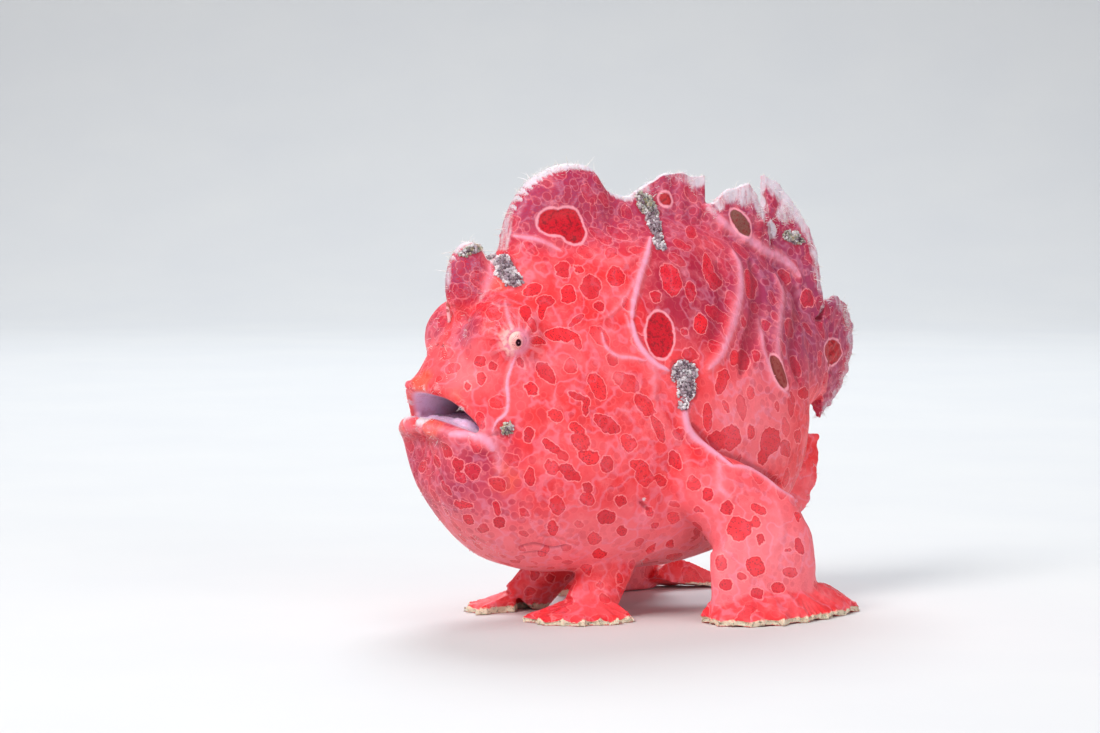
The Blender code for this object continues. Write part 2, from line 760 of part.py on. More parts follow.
def inside_distance(tree, point):
    """How near the point is to a surface that encloses it, or a very long way if none does."""
    start = Vector(point) * MM
    hits, at = 0, start.copy()
    way = Vector((0.0131, 1.0, 0.0217)).normalized()
    while True:
        spot, _, _, _ = tree.ray_cast(at, way)
        if spot is None:
            break
        hits += 1
        at = spot + way * 1e-7
    return tree.find_nearest(start)[3] if hits % 2 else 1e9


def ring_bar(name, centre, way, radius, thickness):
    """A round bar bent to a full ring that lies across the given way."""
    mesh_name = name
    turn = Vector((0, 0, 1)).rotation_difference(Vector(way)).to_matrix()
    angle = np.linspace(0, 2 * math.pi, 20, endpoint=False)
    small = np.linspace(0, 2 * math.pi, 6, endpoint=False)
    points, faces = [], []
    for a in angle:
        for b in small:
            reach = radius + thickness * math.cos(b)
            flat = Vector((reach * math.cos(a), reach * math.sin(a), thickness * math.sin(b)))
            points.append(np.array(centre) + np.array(turn @ flat))
    for i in range(len(angle)):
        for j in range(len(small)):
            k, m = (i + 1) % len(angle), (j + 1) % len(small)
            count = len(small)
            faces.append((i * count + j, k * count + j, k * count + m, i * count + m))
    obj = add_mesh(mesh_name, points, faces)
    face_outwards(obj)
    return obj


def finish_head(head, tree):
    """Sets the lids and nostrils on the head, sinks the eye sockets and opens the gills."""
    added, holes, eyes = [], [], {}
    for side, name in ((-1, "left"), (1, "right")):
        x, y, z = EYE_MOUND_CENTRE
        look = (EYE_WAY[0], side * EYE_WAY[1], EYE_WAY[2])
        spot, _ = on_surface(tree, (x, side * y, z), look)
        way = np.array(Vector(look).normalized())
        centre = spot - way * (EYE_RADIUS - EYE_PROUD)
        added.append(ring_bar("lid", spot - way * 0.25, way, LID_RADIUS, LID_THICKNESS))
        holes.append(ellipsoid("socket", centre, (EYE_RADIUS + GAP,) * 3, segments=16, rings=10))
        eyes[f"{name}_eye"] = ellipsoid(f"{name}_eye", centre, (EYE_RADIUS,) * 3, segments=16, rings=10)
        spot, way = on_surface(tree, (-40.0, side * NOSTRIL_Y, NOSTRIL_Z), (-1, 0, 0))
        added.append(frustum("nostril", spot, way, NOSTRIL_RADIUS * 1.5, NOSTRIL_RADIUS, NOSTRIL_LENGTH))
        holes.append(frustum("nostril_bore", spot + way * NOSTRIL_LENGTH, way, NOSTRIL_BORE, NOSTRIL_BORE, 1.2, 8))
        spot, way = on_surface(tree, (GILL_X, 0.0, GILL_Z), (0, side, 0))
        added.append(frustum("gill_rim", spot, way, GILL_RADIUS * 1.4, GILL_RADIUS, GILL_LENGTH))
        holes.append(frustum("gill_bore", spot + way * GILL_LENGTH, way, GILL_BORE, GILL_BORE, GILL_LENGTH * 1.4, 10))
    head = apply_boolean(head, "UNION", added)
    head = apply_boolean(head, "DIFFERENCE", holes)
    return largest_body(head), eyes


def without_slivers(obj):
    """Merges the corners that a cut leaves almost on top of each other, and lays those at the floor on it."""
    mesh = bmesh.new()
    mesh.from_mesh(obj.data)
    for corner in mesh.verts:
        if abs(corner.co.z) < SLIVER * MM:
            corner.co.z = 0.0
    bmesh.ops.remove_doubles(mesh, verts=mesh.verts, dist=SLIVER * MM)
    bmesh.ops.dissolve_degenerate(mesh, edges=mesh.edges, dist=SLIVER / 4 * MM)
    bmesh.ops.dissolve_limit(mesh, angle_limit=math.radians(0.6), verts=mesh.verts, edges=mesh.edges)
    bmesh.ops.triangulate(mesh, faces=mesh.faces)
    mesh.to_mesh(obj.data)
    mesh.free()
    return obj


def trimmed(obj, *around, floor=False):
    """Cuts a limb or fin back from what it meets, and flat where it stands on the floor."""
    name = obj.name
    cutters = [grown(other, GAP) for other in around]
    if floor:
        cutters.append(floor_block())
    made = without_slivers(apply_boolean(obj, "DIFFERENCE", cutters, "MANIFOLD"))
    made = largest_body(made)
    made.name = name
    return made


def lure():
    """The fishing rod of the first dorsal spine with its tufted bait."""
    path = along(LURE_PATH, np.linspace(0, 1, 16))
    rod = tube("lure", [(*p, LURE_RADIUS) for p in path], sides=6)
    end, ahead = path[-1], path[-1] - path[-2]
    ahead = ahead / np.linalg.norm(ahead)
    pieces = [rod]
    for i in range(BAIT_LOBES):
        turn = 2 * math.pi * i / BAIT_LOBES
        out = np.array([0.25 * math.cos(turn), 0.5 * math.cos(turn), 0.5 * math.sin(turn)])
        tip = end + ahead * BAIT_LENGTH * (0.8 + 0.2 * math.cos(3 * turn)) + out * 3.0
        middle = (end + tip) / 2 + out * 0.8
        stations = [(*(end - ahead), BAIT_RADIUS), (*middle, BAIT_RADIUS * 0.8), (*tip, BAIT_RADIUS * 0.35)]
        pieces.append(tube("bait", stations, sides=6))
    return union("illicium", pieces)


def build():
    skin = fused_skin()
    tree = tree_of(skin)
    whole = copy_of(skin, "whole_skin")
    nodes = part_body(skin)
    nodes["head"], eyes = finish_head(nodes["head"], tree)
    nodes.update(eyes)

    for side, shift in (("left", 0.0), ("right", RIGHT_SIDE_SHIFT)):
        arm = oriented_loft(f"{side}_arm", ARM_SECTIONS, 11, 18)
        hand = ray_fin(f"{side}_hand", HAND_ROOT, HAND_EDGE, HAND_RAYS, 5.0, 0.8, 0.45, 0.14, rows=5)
        leg = oriented_loft(f"{side}_pelvic_fin", PELVIC_SECTIONS, 7, 14)
        foot = ray_fin("foot", PELVIC_ROOT, PELVIC_EDGE, PELVIC_RAYS, 2.8, 0.8, 0.4, 0.16, rows=4)
        pelvic = union(f"{side}_pelvic_fin", [leg, foot])
        if side == "right":
            arm, hand, pelvic = (mirrored(piece, shift) for piece in (arm, hand, pelvic))
        nodes[f"{side}_arm"] = trimmed(arm, whole, floor=True)
        nodes[f"{side}_hand"] = trimmed(hand, nodes[f"{side}_arm"], whole, floor=True)
        nodes[f"{side}_pelvic_fin"] = trimmed(pelvic, whole, floor=True)

    lobes = [ray_fin("lobe", root, edge, rays, 3.6, 0.8, 0.4, 0.03, rows=7) for rays, root, edge in DORSAL_LOBES]
    dorsal = union("dorsal_fin", lobes, "MANIFOLD")
    caudal = ray_fin("caudal_fin", CAUDAL_ROOT, CAUDAL_EDGE, CAUDAL_RAYS, 3.2, 0.6, 0.4, 0.05, rows=6)
    anal = ray_fin("anal_fin", ANAL_ROOT, ANAL_EDGE, ANAL_RAYS, 4.0, 0.8, 0.4, 0.06, rows=5)
    nodes["dorsal_fin"] = trimmed(dorsal, whole)
    nodes["caudal_fin"] = trimmed(caudal, whole)
    nodes["anal_fin"] = trimmed(anal, whole)
    nodes["illicium"] = trimmed(lure(), whole)
    tongue = ellipsoid("tongue", TONGUE_CENTRE, TONGUE_RADII, segments=20, rings=12)
    nodes["tongue"] = trimmed(tongue, whole)
    bpy.data.objects.remove(whole, do_unlink=True)
    return nodes


def stand_at_centre(nodes):
    """Moves the fish so that the middle of its bounding box is over the origin."""
    corners = np.array([obj.matrix_world @ v.co for obj in nodes.values() for v in obj.data.vertices])
    middle = (corners.min(0) + corners.max(0)) / 2
    for obj in nodes.values():
        obj.data.transform(Matrix.Translation((-middle[0], -middle[1], 0.0)))


def paint(nodes):
    skin = material("coral_skin", CORAL)
    fins = material("fin_skin", DEEP_CORAL)
    lining = material("mouth_lining", PALE_PINK, 0.35)
    eye = material("eye", EYE_DARK, 0.08)
    looks = {"tongue": lining, "left_eye": eye, "right_eye": eye}
    for name, obj in nodes.items():
        is_fin = name.endswith(("fin", "hand")) or name == "illicium"
        obj.data.materials.clear()
        obj.data.materials.append(looks.get(name, fins if is_fin else skin))
        obj.data.shade_smooth()


clear_scene()
FISH = new_collection("frogfish")
NODES = build()
stand_at_centre(NODES)
paint(NODES)
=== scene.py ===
"""The looks of a painted frogfish: one marked skin, glossy eyes, a tufted lure, and fine fringes and fuzz.

Sizes are in millimetres unless they say otherwise, and become metres where a mesh is made. Places on the
left side are pixels of the 1100 x 733 photograph, found on the fish by looking through the camera, and the
right side repeats them in mirror image.
"""

import math

import bmesh
import bpy
import numpy as np
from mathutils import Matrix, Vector, noise
from mathutils.bvhtree import BVHTree


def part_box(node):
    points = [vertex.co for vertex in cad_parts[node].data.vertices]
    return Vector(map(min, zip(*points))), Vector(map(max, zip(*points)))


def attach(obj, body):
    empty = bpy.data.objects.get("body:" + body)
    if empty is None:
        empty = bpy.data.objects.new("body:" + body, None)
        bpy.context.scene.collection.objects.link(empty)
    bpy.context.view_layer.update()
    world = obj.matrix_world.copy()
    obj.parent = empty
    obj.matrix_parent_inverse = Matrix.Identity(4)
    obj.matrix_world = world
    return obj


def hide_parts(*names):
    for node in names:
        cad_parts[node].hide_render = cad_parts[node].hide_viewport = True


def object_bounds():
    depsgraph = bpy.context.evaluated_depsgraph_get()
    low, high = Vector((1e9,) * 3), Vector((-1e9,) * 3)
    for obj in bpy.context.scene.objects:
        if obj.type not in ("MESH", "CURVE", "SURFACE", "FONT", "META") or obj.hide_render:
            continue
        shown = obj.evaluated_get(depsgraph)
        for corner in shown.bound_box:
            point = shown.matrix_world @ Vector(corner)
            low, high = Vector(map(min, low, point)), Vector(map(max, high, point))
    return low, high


MM = 0.001
PHOTO_WIDTH, PHOTO_HEIGHT = 1100, 733
LENS, SENSOR = 120.0, 36.0
CAMERA_AZIMUTH, CAMERA_ELEVATION, CAMERA_DISTANCE = -30.0, 3.5, 990.0
CAMERA_TARGET = (-26.4, 10.8, 65.9)
MM_PER_PIXEL = 0.27  # at the fish

SWELL = 0.2  # each node grows by this before they are fused, which closes the gaps between them
SKIN_VOXEL = 0.42
BODY_SMOOTHING = 34
FIN_NODES = ("dorsal_fin", "caudal_fin", "anal_fin", "left_hand", "right_hand", "left_pelvic_fin", "right_pelvic_fin")
GROUND_NODES = ("left_hand", "right_hand", "left_pelvic_fin", "right_pelvic_fin")
EYE_WAY = (-0.36, -0.91, -0.2)  # where the left eye looks
EYE_RADIUS = 2.9

# Raised pale folds and veins: pixels along the line, half width, height, how pale.
VEINS = (
    (((518, 350), (513, 362), (508, 378), (507, 387), (508, 400), (506, 413), (497, 421), (492, 430)), 1.0, 0.45, 0.95),
    (((505, 300), (507, 312), (511, 326), (516, 336)), 1.4, 0.3, 0.7),
    (((492, 430), (496, 444), (499, 458), (499, 472)), 2.8, 0.3, 0.6),
    (((650, 238), (646, 256), (640, 273), (635, 293), (632, 308), (631, 320)), 1.9, 0.8, 0.9),
    (((631, 320), (635, 338), (643, 352), (655, 364), (668, 371)), 1.7, 0.8, 1.0),
    (((640, 256), (636, 276), (625, 298), (610, 314), (598, 320)), 1.3, 0.45, 0.6),
    (((625, 314), (632, 334), (640, 349)), 1.3, 0.4, 0.7),
    (((601, 332), (605, 346), (617, 356), (633, 358), (645, 361)), 1.3, 0.45, 0.8),
    (((651, 364), (655, 381), (653, 399)), 2.0, 0.35, 0.55),
    (((731, 251), (738, 266), (739, 289), (734, 316), (728, 336), (719, 356), (708, 369)), 3.0, 0.8, 0.75),
    (((774, 276), (781, 293), (779, 314), (776, 342), (779, 367), (786, 389)), 3.0, 0.8, 0.65),
    (((759, 319), (761, 339), (763, 351), (766, 359), (776, 384), (789, 396)), 2.0, 0.6, 0.7),
    (((706, 206), (726, 225), (749, 240), (766, 251), (787, 261), (799, 275)), 3.0, 0.5, 0.75),
    (((684, 398), (684, 418), (689, 432), (703, 446), (719, 458), (731, 467)), 2.4, 1.1, 0.95),
    (((731, 467), (748, 470), (765, 480), (779, 491), (795, 501)), 2.2, 0.9, 0.8),
    (((719, 458), (719, 477), (721, 490), (731, 497)), 2.8, 0.25, 0.6),
    (((772, 497), (779, 512), (781, 531), (774, 547)), 2.8, 0.2, 0.5),
    (((450, 434), (469, 434), (486, 440), (493, 450)), 3.2, 0.25, 0.85),
    (((405, 430), (420, 427), (436, 429), (452, 433)), 2.4, 0.2, 0.55),
    (((512, 236), (528, 238), (546, 243), (562, 252)), 1.5, 0.35, 0.75),
    (((590, 250), (606, 262), (626, 262), (640, 256)), 1.8, 0.3, 0.5),
    (((655, 402), (668, 430), (684, 452), (690, 480)), 2.6, 0.3, 0.45),
    (((540, 360), (566, 362), (596, 366), (622, 378)), 3.0, 0.2, 0.4),
    (((493, 260), (490, 276), (485, 292)), 3.4, 0.1, 0.6),
    (((640, 560), (652, 552), (668, 548), (690, 552)), 1.6, 0.3, 0.6),
)
# Grooves: pixels along the line, half width, depth.
GROOVES = (
    (((692, 424), (708, 441), (724, 453), (742, 463), (762, 473), (781, 484)), 1.9, 0.9),
    (((519, 547), (535, 544), (552, 548), (566, 545)), 0.8, 0.6),
    (((522, 553), (538, 552), (549, 555)), 0.7, 0.5),
    (((536, 536), (556, 538), (580, 547)), 0.6, 0.3),
    (((752, 262), (757, 285), (756, 318), (748, 345), (742, 372)), 3.2, 1.0),
    (((795, 290), (796, 320), (792, 350), (799, 380)), 3.0, 0.8),
    (((718, 262), (722, 285), (719, 316), (712, 340)), 3.0, 0.5),
    (((488, 436), (504, 434), (514, 446)), 0.8, 0.35),
    (((640, 502), (645, 506), (650, 511)), 0.9, 0.8),
    (((422, 430), (430, 452), (444, 482)), 1.2, 0.35),
    (((492, 296), (500, 304), (513, 304)), 1.2, 0.5),
    (((452, 306), (462, 312), (470, 322)), 1.6, 0.4),
    (((442, 345), (443, 346), (444, 347)), 0.8, 0.8),
)
# Small raised knobs: pixel, radius, height.
KNOBS = (
    ((408, 421), 1.9, 0.8),
    ((420, 414), 1.5, 0.6),
    ((436, 388), 1.5, 0.8),
    ((469, 424), 3.4, 1.1),
    ((459, 420), 2.0, 0.5),
    ((443, 346), 1.6, 0.5),
    ((690, 408), 1.4, 0.7),
    ((670, 361), 1.0, 0.5),
    ((425, 372), 1.6, 0.5),
    ((414, 380), 1.5, 0.4),
)
# Eyed spots with a pale ring: pixel, half length, half width in pixels, turn in degrees, how brown.
OCELLI = (
    ((555, 222.5), 16.5, 13, 5, 0.0),
    ((567, 223), 15, 14, 60, 0.0),
    ((573, 231), 12.5, 10.5, 40, 0.0),
    ((660, 335), 23, 13, 86, 0.0),
    ((665.5, 199.5), 6.5, 5, 60, 0.2),
    ((741, 223), 15, 7, 55, 0.9),
    ((832, 352), 12, 9.5, 85, 0.2),
    ((777.5, 372), 17, 5.5, 68, 0.7),
)
# Blotches: pixel, half length, half width in pixels, turn in degrees.
BLOTCHES = (
    (563, 270, 9, 7, 70), (578, 270, 5, 4.5, 0), (591, 287, 12, 10, 80), (568, 294, 9, 7, 70), (616, 277, 10, 8, 80),
    (532, 290, 10, 6, -20), (545, 301, 8, 5, 0), (542, 311, 8, 4, 100), (525, 314, 7, 5.5, 90), (533, 325, 8, 4, 80),
    (561, 335, 17, 6, 4), (537, 341, 8, 4, 10), (578, 343, 8, 3.5, 70), (600, 306, 6, 5, 60), (577, 320, 9, 3, -40),
    (546, 373, 13, 7, 52), (521, 363, 6, 3, 60), (480, 362, 5, 4.5, 0), (493, 366, 4.5, 4, 0), (481, 379, 5.5, 4.5, 80),
    (468, 386, 5, 4.3, 80), (532, 389, 7.5, 6.5, 60), (597, 386, 15, 7, 65), (607, 424, 15, 7.5, 35),
    (628, 443, 9, 6.5, 52), (576, 396, 8, 4, 20), (586, 406, 9, 4.5, 100), (555, 416, 8, 6.5, 30), (529, 434, 7, 5, 90),
    (577, 429, 9, 5, 30), (581, 441, 11, 8, 45), (589, 457, 11, 7, 10), (607, 464, 8, 6.5, 70), (552, 447, 10, 4.5, 35),
    (562, 455, 6, 4, 35), (551, 467, 8, 6, 40), (570, 473, 12, 6, 33), (530, 476, 9.5, 4.5, 85), (557, 505, 9, 7.5, 80),
    (587, 488, 6, 5, 60), (588, 499, 8, 6, 30), (553, 528, 8, 4.5, 80), (620, 501, 6.5, 6, 0), (607, 517, 9, 7.5, 0),
    (595, 539, 6.5, 6, 0), (622, 531, 5.5, 5.5, 0), (599, 554, 6.5, 5, 0), (472, 472, 8.5, 7.5, 50),
    (458, 465, 7, 6, 50), (461, 477, 6, 5, 0), (447, 450, 8, 5, 75), (463, 505, 9.5, 4, 5), (499, 523, 6, 5.5, 0),
    (497, 509, 7.5, 3.5, 80), (469, 520, 6, 5, 60), (483, 529, 5.5, 5, 0), (437, 462, 7, 3.5, 70), (446, 489, 7, 3, 60),
    (671, 279, 17, 9, 75), (656, 297, 6.5, 6, 80), (708, 268, 15, 5, 85), (714, 281, 9, 7, 60), (700, 324, 9, 7, 80),
    (685, 332, 3, 3, 0), (690, 291, 10, 5, 85), (691, 232, 6.5, 5, 80), (751, 283, 15, 8, 85), (783, 277, 7.5, 6, 70),
    (790, 328, 10, 5.5, 80), (807, 298, 9, 6, 80), (744, 359, 10, 6, 80), (734, 358, 7, 4, 100), (756, 356, 5, 3, 90),
    (797, 367, 10, 4.5, 75), (804, 394, 6, 5.5, 0), (722, 381, 14, 6, 108), (690, 355, 8, 6, 20), (708, 417, 14, 5, 88),
    (731, 437, 13, 11, 100), (718, 439, 9, 8, 30), (771, 441, 13, 10, 100), (763, 457, 8, 5, 115), (751, 431, 7, 4, 90),
    (803, 460, 12, 7, 95), (798, 436, 7, 4, 90), (727, 508, 7.5, 6, 80), (739, 529, 12, 12, 0), (756, 522, 6, 4, 80),
    (760, 539, 6, 4, 80), (760, 510, 9, 5, 30), (755, 566, 9.5, 9, 80), (722, 563, 8.5, 6, 75), (790, 572, 8, 5, 5),
    (727, 585, 6.5, 6, 0), (742, 576, 4.5, 4.5, 0), (778, 588, 7, 6, 0), (800, 546, 9, 4.5, 70), (798, 516, 4.5, 2.5, 80),
    (788, 550, 4.5, 3, 10), (756, 593, 7, 6, 0), (693, 483, 8, 6, 75), (708, 495, 6.5, 4.5, 80), (675, 460, 9, 6, 60),
    (658, 429, 15, 4.5, 65), (698, 510, 5, 3, 10), (670, 544, 4.5, 4, 0), (652, 548, 6, 3, -45), (645, 477, 10, 8, 20),
    (639, 466, 9, 5, 15), (660, 480, 7, 5, 60),
)  # fmt: skip
# Crusts that grow on the skin: pixel, half length, half width in pixels, turn in degrees.
CRUSTS = (
    ((505, 268), 15, 9, 70),
    ((513, 280), 8, 6, 30),
    ((646, 205), 12, 8, 45),
    ((653, 224), 15, 5.5, 72),
    ((659, 242), 8, 4.5, 85),
    ((684, 372), 12, 11, 20),
    ((687, 388), 12, 8, 75),
    ((683, 406), 3.5, 3, 0),
    ((507, 429), 5.5, 3.5, 120),
    ((793, 238), 9, 5, 20),
    ((472, 250), 12, 4, -20),
)
# Places with an orange tone: pixel, radius, strength.
AMBERS = (((418, 381), 5.0, 0.9), ((432, 424), 5.5, 0.8), ((505, 478), 8.0, 0.5), ((452, 396), 5.0, 0.45), ((500, 282), 5.0, 0.6))
# Whitish, fuzzy places, those at the lips and chin partly a painted rim highlight: pixel, radius, strength.
FROSTED_AND_LIT = (
    ((438, 389), 2.4, 0.45), ((424, 388), 2.0, 0.55), ((409, 418), 3.2, 1.0), ((500, 238), 4.0, 1.0),
    ((490, 252), 3.5, 0.9), ((446, 300), 4.0, 0.3), ((450, 318), 3.4, 0.45), ((436, 330), 4.0, 0.4),
    ((428, 352), 3.0, 0.4), ((480, 296), 3.0, 0.5), ((644, 499), 0.9, 0.9), ((784, 214), 5.0, 0.8),
    ((744, 196), 5.5, 0.8), ((720, 204), 3.5, 0.8), ((815, 270), 4.0, 0.5), ((642, 560), 1.6, 0.7),
    ((460, 428), 2.4, 0.55), ((474, 434), 2.6, 0.6), ((411, 403), 2.6, 0.75), ((403, 433), 2.6, 0.5),
    ((402, 447), 2.8, 0.45),
)  # fmt: skip
ALGAL_CRUSTS = (2, 8, 9, 10)  # the yellowish and greenish ones, by their order above
RANDOM_BLOTCH_SPACING = 5.6
NAMED_CLEARANCE = 6.4  # between a random blotch's middle and a named one's
HAND_RAYS, PELVIC_RAYS = 24, 14
# Rays of the upright fins: node, the point in x and z that they fan out from, how many would go all round.
FANS = (
    ("caudal_fin", (40, 55), 60),
    ("dorsal_fin", (8, 48), 88),
    ("anal_fin", (22, 44), 60),
)
MOUTH_HALF_WIDTH = 19.6
MOUTH_TOP_Z, MOUTH_LOW_Z, MOUTH_CORNER_Z = 60.6, 54.4, 49.8
MOUTH_THROAT = 38.0  # how far behind the nose the mouth's hollow ends

SALMON = (246, 84, 92)
WARM = (236, 44, 50)
# MAUVE and ROSE are laid on partly as painted shade over the rear and the mid flank.
MAUVE = (148, 50, 96)
ROSE = (164, 18, 58)
BLOTCH_RED, BLOTCH_DEEP = (246, 26, 40), (204, 10, 38)
STIPPLE = (136, 4, 26)
OCELLUS_RED, OCELLUS_BROWN = (204, 4, 34), (116, 76, 66)
RING, HAZE = (255, 172, 186), (250, 138, 150)
LID, LID_REAR = (252, 198, 190), (232, 136, 160)
AMBER = (242, 92, 66)
OUTLINE = (255, 146, 152)
VEIN_PALE = (240, 168, 198)
# The bluish white is growth and painted highlight.
FROST_AND_HIGHLIGHT = (228, 228, 238)
CREAM = (232, 222, 196)
LILAC, SHADED_VIOLET = (250, 220, 248), (62, 26, 46)
CRUST_DARK, CRUST_MIDDLE, CRUST_PALE = (98, 66, 78), (164, 140, 150), (238, 230, 232)

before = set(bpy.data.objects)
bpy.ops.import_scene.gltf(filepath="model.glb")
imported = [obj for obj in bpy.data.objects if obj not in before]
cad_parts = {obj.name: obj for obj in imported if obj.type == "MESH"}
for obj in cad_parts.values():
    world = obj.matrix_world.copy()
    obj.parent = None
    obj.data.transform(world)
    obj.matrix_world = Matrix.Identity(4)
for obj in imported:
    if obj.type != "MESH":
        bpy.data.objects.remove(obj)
CAD_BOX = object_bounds()
NOSE_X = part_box("lower_jaw")[0].x / MM
FLESH = [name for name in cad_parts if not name.endswith("_eye") and name != "illicium"]


def camera_axes():
    """The camera's place and its right, up and backward ways."""
    turn, lift = math.radians(CAMERA_AZIMUTH), math.radians(CAMERA_ELEVATION)
    back = np.array([math.sin(turn) * math.cos(lift), -math.cos(turn) * math.cos(lift), math.sin(lift)])
    right = np.array([math.cos(turn), math.sin(turn), 0.0])
    return np.array(CAMERA_TARGET) + back * CAMERA_DISTANCE, right, np.cross(back, right), back


def add_camera():
    place, right, up, back = camera_axes()
    data = bpy.data.cameras.new("camera")
    data.lens, data.sensor_width = LENS, SENSOR
    data.clip_start, data.clip_end = 0.05, 20.0
    camera = bpy.data.objects.new("camera", data)
    bpy.context.scene.collection.objects.link(camera)
    camera.location = Vector(place) * MM
    camera.rotation_euler = Vector(back).to_track_quat("Z", "Y").to_euler()
    bpy.context.scene.camera = camera


def seen_at(tree, pixel):
    """The point and outward way of the surface that shows at a pixel of the photograph, or None."""
    place, right, up, back = camera_axes()
    focal = LENS / SENSOR * PHOTO_WIDTH
    way = right * (pixel[0] - PHOTO_WIDTH / 2) / focal - up * (pixel[1] - PHOTO_HEIGHT / 2) / focal - back
    spot, outward, _, _ = tree.ray_cast(Vector(place) * MM, Vector(way).normalized())
    return None if spot is None else (np.array(spot) / MM, np.array(outward))


def smoothstep(value, low, high):
    """0 below low and 1 above high, or the other way round where low is the greater."""
    share = np.clip((np.asarray(value, float) - low) / (high - low), 0, 1)
    return share * share * (3 - 2 * share)


def rgb(colour):
    """A linear colour with alpha from the 0 to 255 values of a screen."""
    share = np.asarray(colour, float) / 255
    linear = np.where(share <= 0.04045, share / 12.92, ((share + 0.055) / 1.055) ** 2.4)
    return (*linear, 1.0)


def points_of(mesh):
    points = np.empty(len(mesh.vertices) * 3)
    mesh.vertices.foreach_get("co", points)
    return points.reshape(-1, 3) / MM


def set_points(mesh, points):
    mesh.vertices.foreach_set("co", (points * MM).ravel())
    mesh.update()


def normals_of(mesh):
    ways = np.empty(len(mesh.vertices) * 3, np.float32)
    mesh.vertex_normals.foreach_get("vector", ways)
    return ways.reshape(-1, 3).astype(float)


def edges_of(mesh):
    ends = np.empty(len(mesh.edges) * 2, np.int32)
    mesh.edges.foreach_get("vertices", ends)
    return ends.reshape(-1, 2)


class Ties:
    """The edges of a mesh, for averaging values with those of neighbours."""

    def __init__(self, mesh):
        ends = edges_of(mesh)
        self.size = len(mesh.vertices)
        self.here = np.concatenate([ends[:, 0], ends[:, 1]])
        self.there = np.concatenate([ends[:, 1], ends[:, 0]])
        self.count = np.maximum(np.bincount(self.here, minlength=self.size), 1)

    def mean(self, values):
        if values.ndim == 1:
            return np.bincount(self.here, values[self.there], self.size) / self.count
        return np.column_stack([self.mean(values[:, k]) for k in range(values.shape[1])])

    def spread(self, values, times):
        """The greatest value within so many edges."""
        for _ in range(times):
            found = values.copy()
            np.maximum.at(found, self.here, values[self.there])
            values = found
        return values

    def smoothed(self, values, times, share=0.5):
        for _ in range(times):
            values = values + (self.mean(values) - values) * share
        return values


def noise_at(points, size, seed=0.0):
    """A smooth random value from about -1 to 1 at each point, with features of about that size."""
    shift = Vector((seed, seed * 0.37, -seed * 0.71))
    return np.array([noise.noise(Vector(p) + shift) for p in points / size])


def new_object(name, mesh):
    obj = bpy.data.objects.new(name, mesh)
    bpy.context.scene.collection.objects.link(obj)
    return obj


def fused_flesh():
    """All the nodes of flesh as one fine mesh with no gaps between them."""
    whole = bmesh.new()
    for name in FLESH:
        piece = bmesh.new()
        piece.from_mesh(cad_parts[name].data)
        bmesh.ops.remove_doubles(piece, verts=piece.verts, dist=0.001 * MM)
        piece.normal_update()
        for corner in piece.verts:
            corner.co += corner.normal * SWELL * MM
        grown = bpy.data.meshes.new(name)
        piece.to_mesh(grown)
        piece.free()
        whole.from_mesh(grown)
        bpy.data.meshes.remove(grown)
    mesh = bpy.data.meshes.new("flesh")
    whole.to_mesh(mesh)
    whole.free()
    rough = new_object("flesh", mesh)
    remesh = rough.modifiers.new("Remesh", "REMESH")
    remesh.mode = "VOXEL"
    remesh.voxel_size = SKIN_VOXEL * MM
    graph = bpy.context.evaluated_depsgraph_get()
    fine = bpy.data.meshes.new_from_object(rough.evaluated_get(graph))
    bpy.data.objects.remove(rough, do_unlink=True)
    fine.name = "skin"
    return new_object("skin", largest_surface(fine))


def largest_surface(mesh):
    """Drops every closed surface but the one with the most corners."""
    ends = edges_of(mesh)
    label = np.arange(len(mesh.vertices))
    while True:
        low = np.minimum(label[ends[:, 0]], label[ends[:, 1]])
        found = label.copy()
        np.minimum.at(found, ends[:, 0], low)
        np.minimum.at(found, ends[:, 1], low)
        found = found[found]
        if (found == label).all():
            break
        label = found
    keep = label == np.bincount(label).argmax()
    cleaned = bmesh.new()
    cleaned.from_mesh(mesh)
    cleaned.verts.ensure_lookup_table()
    drop = [cleaned.verts[i] for i in np.flatnonzero(~keep)]
    bmesh.ops.delete(cleaned, geom=drop, context="VERTS")
    cleaned.to_mesh(mesh)
    cleaned.free()
    return mesh


def node_tree():
    """A search tree over the faces of the nodes of flesh, with the node of each face."""
    corners, faces, owner = [], [], []
    for name in FLESH:
        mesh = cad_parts[name].data
        start = len(corners)
        corners += [v.co.copy() for v in mesh.vertices]
        faces += [tuple(start + i for i in face.vertices) for face in mesh.polygons]
        owner += [name] * len(mesh.polygons)
    return BVHTree.FromPolygons(corners, faces), owner


def node_of_each(points):
    """The index in FLESH of the node nearest to each point."""
    tree, owner = node_tree()
    index = {name: i for i, name in enumerate(FLESH)}
    of_face = np.array([index[name] for name in owner])
    hits = [tree.find_nearest(p)[2] for p in (Vector(q) for q in points * MM)]
    return of_face[hits]


def spline(pixels, step):
    """Pixels along a smooth curve through a few, about so far apart."""
    pixels = np.asarray(pixels, float)
    padded = np.concatenate([[2 * pixels[0] - pixels[1]], pixels, [2 * pixels[-1] - pixels[-2]]])
    found = []
    for a, b, c, d in zip(padded, padded[1:], padded[2:], padded[3:]):
        count = max(2, int(np.linalg.norm(c - b) / step))
        t = np.linspace(0, 1, count, endpoint=False)[:, None]
        found.append(0.5 * (2 * b + (c - a) * t + (2 * a - 5 * b + 4 * c - d) * t**2 + (3 * b - a - 3 * c + d) * t**3))
    return np.concatenate(found + [pixels[-1:]])


def mirrored(points, tree):
    """The points on the other side of the fish, laid on its surface."""
    found = []
    for x, y, z in np.atleast_2d(points):
        spot = tree.find_nearest(Vector((x, -y, z)) * MM)[0]
        found.append(np.array(spot) / MM)
    return np.array(found)


def lines_on_skin(tree, pixels):
    """A line's points on the left side, and their mirror image on the right."""
    hits = [seen_at(tree, p) for p in spline(pixels, 2.0)]
    left = np.array([hit[0] for hit in hits if hit is not None])
    return left, mirrored(left, tree)


